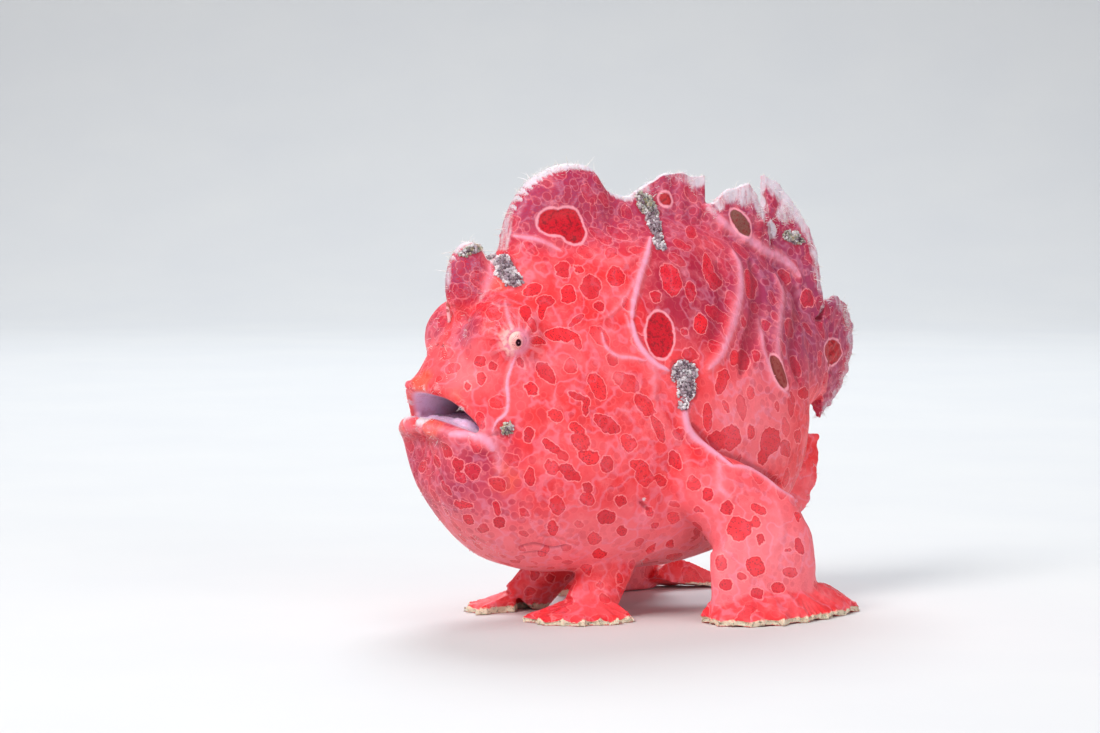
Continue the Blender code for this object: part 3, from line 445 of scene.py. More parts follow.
def line_profile(points, line, half_width):
    """1 on a line, falling smoothly to 0 at its half width, which narrows towards its ends."""
    found = np.zeros(len(points))
    near = np.all((points > line.min(0) - half_width) & (points < line.max(0) + half_width), axis=1)
    where = np.flatnonzero(near)
    share = np.linspace(0, 1, len(line))
    width = half_width * (0.35 + 0.65 * np.sin(math.pi * share) ** 0.5)
    for part in np.array_split(where, max(1, len(where) // 20000)):
        gap = np.linalg.norm(points[part][:, None] - line[None], axis=2) / width
        found[part] = 1 - smoothstep(gap.min(axis=1), 0.0, 1.0)
    return found


def mark_on_skin(tree, pixel, long, wide, turn):
    """A spot's middle and its two half axes on the left side, from its size in the photograph."""
    middle = seen_at(tree, pixel)
    if middle is None:
        return None
    centre, outward = middle
    turn = math.radians(turn)
    axes = []
    for size, way in ((long, (math.cos(turn), math.sin(turn))), (wide, (-math.sin(turn), math.cos(turn)))):
        ends = [seen_at(tree, (pixel[0] + s * size * way[0], pixel[1] + s * size * way[1])) for s in (-1, 1)]
        spans = [s * (end[0] - centre) for s, end in zip((-1, 1), ends) if end is not None]
        spans = [span for span in spans if np.linalg.norm(span) < 3.6 * size * MM_PER_PIXEL]
        if spans:
            axes.append(min(spans, key=np.linalg.norm))
        else:
            _, right, up, _ = camera_axes()
            flat = right * way[0] - up * way[1]
            flat = flat - outward * flat.dot(outward)
            axes.append(flat / np.linalg.norm(flat) * size * MM_PER_PIXEL)
    return centre, axes[0], axes[1], outward


def other_side(mark, tree, slip):
    """The mark behind a mark on a thin fin, or else its mirror image, moved a little over the skin."""
    centre, along, across, outward = mark
    behind = tree.ray_cast(Vector(centre - outward * 0.1) * MM, Vector(-outward), 5 * MM)[0]
    if behind is not None:
        return np.array(behind) / MM, along, across, -outward
    flip = np.array([1, -1, 1])
    spot = np.array(tree.find_nearest(Vector((centre + slip) * flip) * MM)[0]) / MM
    return spot, along * flip, across * flip, outward * flip


def mark_distance(points, ways, marks):
    """How far each point is outside the nearest mark's outline, below 0 inside it, and that mark's index.

    A mark on one face of a thin fin doesn't show on the other.
    """
    nearest = np.full(len(points), 9.0)
    which = np.zeros(len(points), int)
    for i, (centre, along, across, outward) in enumerate(marks):
        reach = 1.3 * max(np.linalg.norm(along), np.linalg.norm(across)) + 2.5
        offset = points - centre
        where = np.flatnonzero((np.einsum("ij,ij->i", offset, offset) < reach**2) & (ways @ outward > -0.3))
        if not len(where):
            continue
        flat = np.linalg.pinv(np.column_stack([along, across])) @ offset[where].T
        share = np.maximum(np.hypot(*flat), 1e-3)
        length = np.linalg.norm(along[:, None] * flat[0] + across[:, None] * flat[1], axis=0)
        gap = length - length / share
        closer = gap < nearest[where]
        nearest[where[closer]] = gap[closer]
        which[where[closer]] = i
    return nearest, which


def random_marks(points, ways, taken, seed, fins):
    """More blotches, spread over the skin away from those that are taken."""
    rng = np.random.default_rng(seed)
    order = rng.permutation(len(points))[:6000]
    centres = [np.array(c) for c in taken]
    marks = []
    for i in order:
        spot, outward = points[i], ways[i]
        low = spot[2] < 34 and spot[0] < -8
        spacing = RANDOM_BLOTCH_SPACING * (0.66 if low else 1.0) * rng.uniform(0.8, 1.25)
        if fins[i] > 0.5:
            spacing *= 1.5
        gaps = np.sqrt(np.sum((np.array(centres) - spot) ** 2, axis=1))
        if gaps.min() < spacing or gaps[: len(taken)].min(initial=99) < NAMED_CLEARANCE:
            continue
        flow = np.array([0.75, 0.0, -0.66]) if spot[0] < 8 else np.array([0.15, 0.0, -1.0])
        flow = flow + rng.normal(0, 0.35, 3)
        flow -= outward * flow.dot(outward)
        flow /= np.linalg.norm(flow)
        size = spacing * rng.uniform(0.2, 0.36)
        marks.append((spot, flow * size * rng.uniform(1.1, 2.0), np.cross(outward, flow) * size, outward))
        centres.append(spot)
    return marks


def put(mesh, name, values):
    mesh.attributes.new(name, "FLOAT", "POINT").data.foreach_set("value", values.astype(np.float32))


def mouth_lining(points):
    """How far inside the mouth's hollow a point is, from 0 to 1, and how far back towards the throat, which sets the
    painted shade of the mouth.
    """
    share = np.minimum(np.abs(points[:, 1]) / MOUTH_HALF_WIDTH, 1)
    roof = MOUTH_CORNER_Z + 0.7 + (MOUTH_TOP_Z - MOUTH_CORNER_Z - 0.7) * (1 - share**3.2)
    floor = MOUTH_CORNER_Z - 0.7 + (MOUTH_LOW_Z - MOUTH_CORNER_Z + 0.7) * (1 - share**2)
    behind = points[:, 0] - NOSE_X
    within = smoothstep(points[:, 2], floor - 2.6, floor - 0.9) * smoothstep(points[:, 2], roof + 1.9, roof + 0.3)
    within *= smoothstep(behind, 2.2 + 9 * share**2, 4.2 + 10 * share**2) * (behind < MOUTH_THROAT + 3)
    within *= smoothstep(np.abs(points[:, 1]), MOUTH_HALF_WIDTH + 0.8, MOUTH_HALF_WIDTH - 0.8)
    return within, smoothstep(behind, 12, 25)


def surface_tree(obj):
    bpy.context.view_layer.update()
    return BVHTree.FromObject(obj, bpy.context.evaluated_depsgraph_get())


def make_skin():
    """The skin's shape and the values that its markings are painted from."""
    skin = fused_flesh()
    mesh = skin.data
    ties = Ties(mesh)
    points = points_of(mesh)
    points -= normals_of(mesh) * SWELL
    node = node_of_each(points)
    grounded = np.isin(node, [FLESH.index(name) for name in GROUND_NODES])
    fins = np.isin(node, [FLESH.index(name) for name in FIN_NODES]).astype(float)
    fins *= np.where(grounded, smoothstep(points[:, 2], 10, 6), 1.0)
    fins = ties.smoothed(fins, 6)
    body = smoothstep(fins, 0.6, 0.1)[:, None]
    for i in range(BODY_SMOOTHING):
        share = 0.5 * body + (1 - body) * (0.5 if i % 2 == 0 else -0.53)
        points = points + (ties.mean(points) - points) * share
    set_points(mesh, points)
    tree = surface_tree(skin)
    ways = normals_of(mesh)

    vein, rise, sink = folds(points, tree)
    rng = np.random.default_rng(7)
    crusts = [mark_on_skin(tree, *row) for row in CRUSTS]
    crusts = [mark for mark in crusts if mark]
    crusts += [other_side(mark, tree, rng.normal(0, 3.0, 3)) for mark in crusts[::3]]
    crust, of_crust = mark_distance(points, ways, crusts)
    ocelli = [mark_on_skin(tree, *row[:4]) for row in OCELLI]
    ocelli += [other_side(mark, tree, rng.normal(0, 0.6, 3)) for mark in ocelli]
    ocellus, which = mark_distance(points, ways, ocelli)
    brown = np.array([row[4] for row in OCELLI] * 2)[which]
    blotches = [mark_on_skin(tree, (x, y), *size) for x, y, *size in BLOTCHES]
    blotches = [mark for mark in blotches if mark]
    blotches += [other_side(mark, tree, rng.normal(0, 1.6, 3)) for mark in blotches]
    taken = [mark[0] for mark in blotches + ocelli + crusts]
    more = random_marks(points, ways, taken, 3, fins)
    blotch, which = mark_distance(points, ways, blotches + more)
    tone = rng.uniform(0, 1, len(blotches + more))[which]
    faint = np.array([0.5 if mark[0][2] > 86 else 1.0 for mark in more])
    bold = np.concatenate([rng.uniform(0.5, 1, len(blotches)), rng.uniform(0.1, 0.6, len(more)) * faint])[which]

    thickness = np.array([through_at(tree, p, n) for p, n in zip(points * MM, ways)])
    lining, throat_shade = mouth_lining(points)
    sides = smoothstep(np.abs(points[:, 1]), 9.0, 15.0)
    # The tongue's middle gets painted shade too, less towards its sides.
    throat_shade = np.maximum(throat_shade, (0.72 - 0.5 * sides) * (node == FLESH.index("tongue")))
    crust = np.where(lining > 0.02, 9.0, crust)
    eye_gap, eye_turn, eye_fore = eye_nearness(points)
    ground = ties.smoothed(grounded.astype(float), 4)
    frost_and_highlight = frosted_and_lit(points, ways, node, ties, tree, fins * smoothstep(thickness, 9.5, 8.5), thickness)
    rear = smoothstep(points[:, 0], -6, 36) * smoothstep(points[:, 2], 43, 82)
    tail = ties.smoothed((node == FLESH.index("caudal_fin")).astype(float), 12)
    rear = np.maximum(rear, 0.75 * tail)
    chin = patch(points, tree, (460, 482), 25.0)
    amber = np.zeros(len(points))
    for pixel, radius, strength in AMBERS:
        amber = np.maximum(amber, strength * patch(points, tree, pixel, radius))
    crest = smoothstep(points[:, 2], 90, 108)
    # Mauve: painted shade over the rear and tail, and a mauve tone at the chin, the top of the back and two patches on
    # the head.
    cool_tone_and_shade = np.maximum(np.maximum(rear, 0.55 * chin), 0.75 * crest) * (1 - ground)
    cool_tone_and_shade = np.maximum(cool_tone_and_shade, 0.8 * patch(points, tree, (466, 272), 12.0) + 0.6 * patch(points, tree, (434, 326), 8.0))
    # Darker rose: painted shade over the mid flank, and a rose tone on the head.
    rose_tone_and_shade = patch(points, tree, (690, 290), 23.0) + 0.6 * patch(points, tree, (462, 280), 8.0)
    # Pale haze: painted light on the lower body and the rump, and a pale haze tone on the arm and the face.
    haze_and_painted_light = np.maximum(smoothstep(points[:, 2], 38, 19) * (1 - ground), 0.6 * patch(points, tree, (752, 528), 26.0))
    haze_and_painted_light = np.maximum(haze_and_painted_light, 0.85 * patch(points, tree, (756, 425), 22.0))
    haze_and_painted_light = np.maximum(haze_and_painted_light, 0.5 * patch(points, tree, (466, 362), 13.0))
    wavy = patch(points, tree, (466, 284), 13.0) + patch(points, tree, (495, 318), 9.5) + 0.6 * crest
    margin = ground * smoothstep(points[:, 2], 2.6, 1.0) * smoothstep(np.abs(ways[:, 2]), 0.95, 0.6)

    clear = (1 - lining) * smoothstep(eye_gap, 3.4, 5.2)
    lumps = noise_at(points, 9.0) * 0.25 + noise_at(points, 3.4, 11.0) * 0.11 + noise_at(points, 1.5, 23.0) * 0.04
    grain = 0.25 * noise_at(points, 1.1, 5.0) + 0.35 * noise_at(points, 2.3, 9.0)
    inside_crust = smoothstep(crust + grain * 1.2, 0.25, -0.5)
    move = (rise - sink + lumps * (1 - 0.6 * fins)) * clear + inside_crust * (0.3 + 0.6 * grain) * clear
    move -= 0.15 * smoothstep(ocellus, 0.2, -0.8) * clear * (1 - fins)
    move += 0.17 * np.sin(11 * eye_turn + 2 * lumps) * smoothstep(eye_gap, 11, 5) * smoothstep(eye_gap, 3.2, 4.6)
    move += 0.12 * smoothstep(eye_gap, 2.7, 3.3) * smoothstep(eye_gap, 4.6, 3.5)
    for pixel, radius, height in KNOBS:
        move += height * patch(points, tree, pixel, radius)
    move += rays(points, ways, node, ground)
    rim = ties.smoothed(fins * (1 - ground) * smoothstep(thickness, 3.0, 6.0), 2) * smoothstep(fins, 0.8, 1.0)
    move += rim * (0.7 * noise_at(points, 3.4, 71.0) + 0.35 * noise_at(points, 1.3, 83.0))
    points = hugging_eyes(points + ways * move[:, None])
    points[:, 2] = np.maximum(points[:, 2], 0.03)
    set_points(mesh, points)

    values = {"vein": vein, "crust": crust, "ocellus": ocellus, "brown": brown, "blotch": blotch, "tone": tone}
    values |= {"bold": bold, "lining": lining, "throat_shade": throat_shade, "wavy": wavy, "frost_and_highlight": frost_and_highlight, "cool_tone_and_shade": cool_tone_and_shade}
    values |= {"rose_tone_and_shade": rose_tone_and_shade, "haze_and_painted_light": haze_and_painted_light, "sink": sink, "cream": margin, "eye_gap": eye_gap}
    values |= {"eye_ray": np.sin(9 * eye_turn + 3 * lumps) + 0.6 * np.sin(23 * eye_turn) + 2.5 * lumps}
    values |= {"amber": amber, "lid": smoothstep(eye_gap, 4.9, 3.0)}
    values["lid_fore"] = smoothstep(eye_gap, 6.0, 3.4) * smoothstep(eye_fore, -0.1, 0.5)
    for name, found in values.items():
        put(mesh, name, found)
    mesh.shade_smooth()
    return skin, values, of_crust


def folds(points, tree):
    """How pale and how high the skin is along veins and folds, and how deep it is along grooves."""
    vein, rise, sink = np.zeros((3, len(points)))
    for pixels, half_width, height, pale in VEINS:
        for line in lines_on_skin(tree, pixels):
            profile = line_profile(points, line, half_width * 1.25)
            rise = np.maximum(rise, profile * height)
            vein = np.maximum(vein, profile * pale)
    for pixels, half_width, depth in GROOVES:
        for line in lines_on_skin(tree, pixels):
            sink = np.maximum(sink, line_profile(points, line, half_width * 1.3) * depth)
    return vein, rise, sink


def patch(points, tree, pixel, radius):
    """1 at a named place and its mirror image, falling softly to 0 at the radius."""
    hit = seen_at(tree, pixel)
    if hit is None:
        return np.zeros(len(points))
    found = [np.linalg.norm(points - hit[0] * (1, side, 1), axis=1) for side in (1, -1)]
    return smoothstep(np.minimum(*found), radius, 0.3 * radius)


def frosted_and_lit(points, ways, node, ties, tree, fins, thickness):
    """Where the skin is painted whitish: growth on the rims of the fins and some named places, and on the crest of the
    back growth with a painted highlight on its upward- and forward-facing faces.
    """
    thin = smoothstep(ties.smoothed(np.minimum(thickness, 8.0), 4), 3.0, 1.5) * fins
    thin = ties.smoothed(ties.spread(thin, 4), 2) * (points[:, 2] > 12)
    thin *= np.where(node == FLESH.index("dorsal_fin"), 1.0, 0.62)
    thin *= 1 - 0.5 * patch(points, tree, (668, 190), 10.0)
    strip = np.clip(((points[:, 0] - points[:, 0].min()) / 1.5).astype(int), 0, None)
    highest = np.zeros(strip.max() + 1)
    np.maximum.at(highest, strip, points[:, 2])
    below = highest[strip] - points[:, 2]
    back = smoothstep(points[:, 2], 84, 90) * smoothstep(points[:, 0], 45, 38)
    # Upward-facing tops of the back: painted highlight with growth.
    top = back * smoothstep(below, 2.8, 0.6) * smoothstep(ways[:, 2], 0.0, 0.6)
    # Forward-facing faces of the back: painted rim highlight.
    front = back * smoothstep(ways[:, 0], -0.75, -0.97) * smoothstep(below, 16, 10) * 0.7
    found = np.maximum(np.maximum(thin, top), front)
    for pixel, radius, strength in FROSTED_AND_LIT:
        found = np.maximum(found, patch(points, tree, pixel, radius) * strength)
    return found


def rays(points, ways, node, ground):
    """The low ridges of the fin rays, which fan out from each fin's root and scallop the hands' rims."""
    found = np.zeros(len(points))
    for name in GROUND_NODES:
        low, high = (np.array(corner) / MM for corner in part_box(name))
        middle = (low + high) / 2
        turn = np.arctan2(points[:, 1] - middle[1], points[:, 0] - middle[0])
        count = HAND_RAYS if "hand" in name else PELVIC_RAYS
        here = ground * (node == FLESH.index(name)) * smoothstep(points[:, 2], 9.0, 2.0)
        points_out = 1 - 2 * np.abs(np.sin(count * turn / 2)) ** 0.8
        found += here * (0.14 + 0.8 * smoothstep(points[:, 2], 2.6, 1.2)) * points_out * (ways[:, 2] > -0.5)
    for name, (x, z), count in FANS:
        turn = np.arctan2(points[:, 2] - z, points[:, 0] - x)
        found += 0.13 * (node == FLESH.index(name)) * np.cos(count * turn) * (1 - ground)
    return found


def through_at(tree, point, way):
    """How thick the flesh is behind a point of the surface."""
    inwards = Vector(-way)
    spot, _, _, length = tree.ray_cast(Vector(point) + inwards * 0.08 * MM, inwards, 9 * MM)
    return 9.0 if spot is None else length / MM


def hugging_eyes(points):
    """The points with the rim of each socket drawn in to the eyeball."""
    for name in ("left_eye", "right_eye"):
        low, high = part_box(name)
        middle = np.array((low + high) / 2) / MM
        offset = points - middle
        length = np.linalg.norm(offset, axis=1)
        gap = length - EYE_RADIUS
        pulled = EYE_RADIUS - 0.1 + (gap + 0.1) * smoothstep(gap, 0.0, 1.5)
        near = (gap < 1.3) & (gap > -0.6)
        points[near] = middle + offset[near] * (pulled[near] / length[near])[:, None]
    return points


def eye_nearness(points):
    """How far each point is from the nearer eye, the turn round that eye's look, and how far forward it lies."""
    gap = np.full(len(points), 99.0)
    turn, fore = np.zeros((2, len(points)))
    for name, side in (("left_eye", 1), ("right_eye", -1)):
        low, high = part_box(name)
        middle = np.array((low + high) / 2) / MM
        way = np.array(EYE_WAY) * (1, side, 1)
        way = way / np.linalg.norm(way)
        offset = points - (middle + way * EYE_RADIUS * 0.6)
        length = np.linalg.norm(offset, axis=1)
        across = np.cross(way, (0, 0, 1))
        across = across / np.linalg.norm(across)
        upright = np.cross(across, way)
        nearer = length < gap
        gap[nearer] = length[nearer]
        turn[nearer] = np.arctan2(offset[nearer] @ upright, offset[nearer] @ across)
        fore[nearer] = -offset[nearer, 0] / length[nearer]
    return gap, turn, fore


class Paint:
    """A material's nodes, made by small calls that each give back a socket."""

    def __init__(self, name):
        self.material = bpy.data.materials.new(name)
        self.material.use_nodes = True
        self.tree = self.material.node_tree
        self.shader = self.tree.nodes["Principled BSDF"]
        self.place = self.node("ShaderNodeTexCoord").outputs["Object"]

    def node(self, kind, **settings):
        made = self.tree.nodes.new(kind)
        for key, value in settings.items():
            setattr(made, key, value)
        return made

    def feed(self, socket, value):
        if isinstance(value, bpy.types.NodeSocket):
            self.tree.links.new(value, socket)
        elif socket.type == "RGBA":
            socket.default_value = rgb(value)
        else:
            socket.default_value = value

    def value(self, name):
        return self.node("ShaderNodeAttribute", attribute_name=name).outputs["Fac"]

    def math(self, operation, first, second=0.0):
        made = self.node("ShaderNodeMath", operation=operation)
        self.feed(made.inputs[0], first)
        self.feed(made.inputs[1], second)
        return made.outputs[0]

    def times(self, *factors):
        found = factors[0]
        for factor in factors[1:]:
            found = self.math("MULTIPLY", found, factor)
        return found

    def step(self, value, low, high):
        """0 up to low and 1 from high on, with a soft change between, or reversed where low is the greater."""
        made = self.node("ShaderNodeMapRange", interpolation_type="SMOOTHSTEP")
        self.feed(made.inputs["Value"], value)
        made.inputs["From Min"].default_value, made.inputs["From Max"].default_value = low, high
        return made.outputs["Result"]

    def band(self, value, low, high, soft):
        return self.times(self.step(value, low - soft, low + soft), self.step(value, high + soft, high - soft))

    def noise(self, size, detail=2.0, roughness=0.5, stretch=None):
        """A random value about 0.5, with features of about that size in millimetres."""
        made = self.node("ShaderNodeTexNoise")
        made.inputs["Scale"].default_value = 1 / (size * MM)
        made.inputs["Detail"].default_value = detail
        made.inputs["Roughness"].default_value = roughness
        vector = self.place
        if stretch:
            mapping = self.node("ShaderNodeMapping")
            mapping.inputs["Scale"].default_value = stretch
            self.tree.links.new(vector, mapping.inputs["Vector"])
            vector = mapping.outputs["Vector"]
        self.tree.links.new(vector, made.inputs["Vector"])
        return made.outputs["Fac"]

    def cells(self, size, feature="F1"):
        made = self.node("ShaderNodeTexVoronoi", feature=feature)
        made.inputs["Scale"].default_value = 1 / (size * MM)
        self.tree.links.new(self.place, made.inputs["Vector"])
        return made.outputs["Distance"]

    def mix(self, share, first, second):
        made = self.node("ShaderNodeMix", data_type="RGBA")
        self.feed(made.inputs[0], share)
        self.feed(made.inputs[6], first)
        self.feed(made.inputs[7], second)
        return made.outputs[2]

    def bump(self, height, distance, strength=1.0, below=None):
        made = self.node("ShaderNodeBump")
        made.inputs["Distance"].default_value = distance * MM
        made.inputs["Strength"].default_value = strength
        self.feed(made.inputs["Height"], height)
        if below is not None:
            self.tree.links.new(below, made.inputs["Normal"])
        return made.outputs["Normal"]

    def finish(self, colour=None, roughness=None, normal=None, **constants):
        for socket, value in (("Base Color", colour), ("Roughness", roughness), ("Normal", normal)):
            if value is not None:
                self.feed(self.shader.inputs[socket], value)
        for socket, value in constants.items():
            self.feed(self.shader.inputs[socket.replace("_", " ")], value)
        return self.material


def skin_paint():
    """Coral skin with outlined, stippled blotches, eyed spots, pale folds, whitish rims and a lilac mouth, with painted
    shade over the rear, mid flank, grooves and throat, painted light on the lower body and rump, and a painted
    highlight on the back's tops.
    """
    p = Paint("frogfish_skin")
    wander = p.math("SUBTRACT", p.noise(3.0, 3.0), 0.5)
    ripple = p.math("SUBTRACT", p.noise(1.1, 2.0), 0.5)
    warp = p.math("ADD", p.times(wander, 2.6), p.times(ripple, 0.9))
    mottle = p.noise(11.0, 4.0, 0.6)
    fine = p.noise(0.55, 3.0, 0.6)
    speck = p.math("ADD", p.cells(0.66), p.times(fine, 0.35))
    cool_tone_and_shade = p.math("ADD", p.value("cool_tone_and_shade"), p.times(p.math("SUBTRACT", mottle, 0.5), 0.7))

    colour = p.mix(p.step(mottle, 0.36, 0.64), SALMON, WARM)
    # Darker rose: painted shade over the mid flank, and a rose tone on the head.
    colour = p.mix(p.times(p.value("rose_tone_and_shade"), 0.9), colour, ROSE)
    # Mauve: painted shade over the rear and tail, and a mauve tone elsewhere.
    colour = p.mix(p.times(p.step(cool_tone_and_shade, 0.05, 0.9), 0.85), colour, MAUVE)
    # Pale haze: painted light on the lower body and the rump, and a pale haze tone elsewhere.
    colour = p.mix(p.times(p.value("haze_and_painted_light"), 0.62), colour, HAZE)
    colour = p.mix(p.times(p.step(p.noise(6.0, 4.0, 0.6), 0.5, 0.78), 0.42), colour, HAZE)
    threads = p.math("ABSOLUTE", p.math("SUBTRACT", p.noise(7.0, 2.0), 0.5))
    colour = p.mix(p.times(p.step(threads, 0.05, 0.0), 0.24), colour, VEIN_PALE)
    waves = p.math("ABSOLUTE", p.math("SUBTRACT", p.noise(1.15, 1.5, 0.5, stretch=(1.0, 1.0, 1.5)), 0.5))
    colour = p.mix(p.times(p.step(waves, 0.06, 0.015), p.value("wavy"), 0.7), colour, BLOTCH_DEEP)
    colour = p.mix(p.times(p.step(p.math("ADD", p.value("amber"), wander), 0.1, 0.9), 0.85), colour, AMBER)
    around = p.value("eye_gap")
    colour = p.mix(p.times(p.step(around, 11.0, 4.0), p.step(p.value("eye_ray"), 0.0, 1.1), 0.42), colour, RING)
    colour = laced(p, colour, warp, cool_tone_and_shade, mottle)
    colour = p.mix(p.times(p.step(speck, 0.42, 0.26), p.step(mottle, 0.4, 0.62), 0.4), colour, BLOTCH_DEEP)
    colour, inside, dots = blotched(p, colour, warp, cool_tone_and_shade, speck)

    vein = p.math("ADD", p.value("vein"), p.times(p.math("SUBTRACT", p.noise(1.8, 3.0), 0.5), 0.4))
    colour = p.mix(p.times(p.step(vein, 0.02, 0.7), 0.4), colour, HAZE)
    colour = p.mix(p.times(p.step(vein, 0.4, 1.0), 0.85), colour, VEIN_PALE)
    # Grooves are darkened with painted shade.
    colour = p.mix(p.times(p.step(p.value("sink"), 0.05, 0.7), 0.5), colour, (142, 26, 52))

    rim = p.math("ADD", p.value("ocellus"), p.times(warp, 0.45))
    dark = p.mix(p.value("brown"), OCELLUS_RED, OCELLUS_BROWN)
    dark = p.mix(p.times(p.step(p.noise(1.1, 3.0, 0.6), 0.5, 0.66), 0.8), dark, (134, 6, 26))
    dark = p.mix(p.times(dots, 0.7), dark, (128, 6, 26))
    colour = p.mix(p.times(p.band(rim, 0.15, 0.85, 0.3), 0.75), colour, RING)
    colour = p.mix(p.step(rim, 0.18, -0.18), colour, dark)

    colour = p.mix(p.times(p.value("lid"), 0.8), colour, LID_REAR)
    colour = p.mix(p.times(p.value("lid_fore"), p.step(p.noise(1.4, 3.0), 0.38, 0.62), 0.8), colour, LID)

    # Whitish growth, with painted highlight on the tops and front of the back and at the lips.
    frost_and_highlight = p.math("SUBTRACT", p.noise(1.3, 4.0, 0.7, stretch=(1.0, 1.0, 0.35)), 0.5)
    frost_and_highlight = p.math("ADD", p.value("frost_and_highlight"), p.times(frost_and_highlight, 1.1))
    colour = p.mix(p.times(p.step(frost_and_highlight, 0.35, 1.0), 0.78), colour, FROST_AND_HIGHLIGHT)
    cream = p.math("ADD", p.value("cream"), p.times(p.math("SUBTRACT", p.noise(1.0, 4.0, 0.7), 0.5), 1.6))
    edge = p.mix(p.step(p.noise(0.9, 4.0, 0.7), 0.5, 0.64), CREAM, (150, 150, 128))
    colour = p.mix(p.times(p.step(cream, 0.3, 0.8), 0.92), colour, edge)

    crust = p.math("ADD", p.value("crust"), p.times(p.math("SUBTRACT", p.noise(1.4, 3.0), 0.5), 1.8))
    grit = p.mix(p.step(p.noise(1.5, 5.0, 0.75), 0.4, 0.62), CRUST_DARK, CRUST_MIDDLE)
    colour = p.mix(p.times(p.step(crust, 1.5, 0.3), 0.6), colour, (176, 22, 44))
    colour = p.mix(p.step(crust, 0.35, 0.0), colour, grit)

    # Lilac darkening to violet towards the throat: painted shade in the mouth's hollow.
    mouth = p.mix(p.value("throat_shade"), LILAC, SHADED_VIOLET)
    mouth = p.mix(p.times(p.step(p.noise(2.4, 4.0), 0.5, 0.7), 0.3), mouth, (214, 132, 156))
    colour = p.mix(p.value("lining"), colour, mouth)

    height = p.math("ADD", p.times(fine, 0.5), p.times(p.noise(1.7, 3.0), 0.9))
    height = p.math("ADD", height, p.times(inside, 0.25))
    gritty = p.times(p.step(crust, 0.4, -0.1), p.noise(0.7, 5.0, 0.8), 2.2)
    normal = p.bump(p.math("ADD", height, gritty), 0.18, 0.9)
    wet = p.math("SUBTRACT", 0.52, p.times(p.value("lining"), 0.22))
    roughness = p.math("ADD", wet, p.times(p.math("SUBTRACT", fine, 0.5), 0.3))
    return p.finish(
        colour,
        roughness,
        normal,
        Subsurface_Weight=0.25,
        Subsurface_Radius=(1.0, 0.28, 0.22),
        Subsurface_Scale=1.8 * MM,
        Specular_IOR_Level=0.32,
        Coat_Weight=0.09,
        Coat_Roughness=0.28,
    )


def laced(p, colour, warp, cool_tone_and_shade, mottle):
    """Small rounded spots with pale rims, plainest where the skin is mauve, in tone or in painted shade."""
    spot = p.math("ADD", p.cells(2.7), p.times(warp, 0.16))
    share = p.step(p.math("ADD", cool_tone_and_shade, p.times(mottle, 0.6)), 0.2, 1.1)
    colour = p.mix(p.times(p.step(spot, 0.44, 0.36), p.math("ADD", 0.1, p.times(share, 0.42))), colour, (180, 38, 66))
    return p.mix(p.times(p.band(spot, 0.44, 0.5, 0.05), p.math("ADD", 0.14, p.times(share, 0.26))), colour, OUTLINE)


def blotched(p, colour, warp, cool_tone_and_shade, speck):
    """The colour with blotches, how far a place is inside one, and their dark stipple."""
    edge = p.math("ADD", p.value("blotch"), warp)
    inside = p.step(edge, 0.14, -0.14)
    red = p.mix(p.value("tone"), BLOTCH_RED, BLOTCH_DEEP)
    # Blotches turn a duller mauve under the painted shade and the mauve tone.
    red = p.mix(p.times(p.step(cool_tone_and_shade, 0.3, 1.1), 0.55), red, (160, 44, 72))
    dots = p.times(p.step(speck, 0.55, 0.42), 0.72)
    red = p.mix(dots, red, STIPPLE)
    bold = p.math("ADD", 0.22, p.times(p.value("bold"), 0.64))
    colour = p.mix(p.times(p.band(edge, 0.1, 0.34, 0.12), p.math("ADD", 0.3, bold), 0.7), colour, OUTLINE)
    colour = p.mix(p.times(inside, bold), colour, red)
    return p.mix(p.times(p.band(edge, -0.32, -0.02, 0.1), bold, 0.55), colour, BLOTCH_DEEP), inside, dots


def make_eyes(paint):
    """Two fine eyeballs in the places of the solids."""
    for name, side in (("left_eye", 1), ("right_eye", -1)):
        low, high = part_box(name)
        middle = np.array((low + high) / 2) / MM
        way = np.array(EYE_WAY) * (1, side, 1)
        way = way / np.linalg.norm(way)
        ball = bmesh.new()
        bmesh.ops.create_uvsphere(ball, u_segments=156, v_segments=60, radius=1.0)
        turn = Vector((0, 0, 1)).rotation_difference(Vector(way)).to_matrix().to_4x4()
        mesh = bpy.data.meshes.new(f"{name}_ball")
        ball.to_mesh(mesh)
        ball.free()
        unit = points_of(mesh) * MM
        bulge = 1 + 0.07 * smoothstep(unit[:, 2], 0.83, 0.99)
        turned = (unit * bulge[:, None]) @ np.array(turn.to_3x3()).T
        across = np.cross(way, (0, 0, 1))
        upright = np.cross(across, way)
        off_axis = np.degrees(np.arctan2(np.hypot(turned @ across * 1.15, turned @ upright * 0.85), turned @ way))
        set_points(mesh, middle + turned * EYE_RADIUS)
        put(mesh, "off_axis", off_axis)
        put(mesh, "ray", np.sin(26 * np.arctan2(unit[:, 1], unit[:, 0])))
        put(mesh, "fore", -turned[:, 0])
        mesh.shade_smooth()
        mesh.materials.append(paint)
        eye = new_object(f"{name}_ball", mesh)
        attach(eye, "root")
        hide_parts(name)


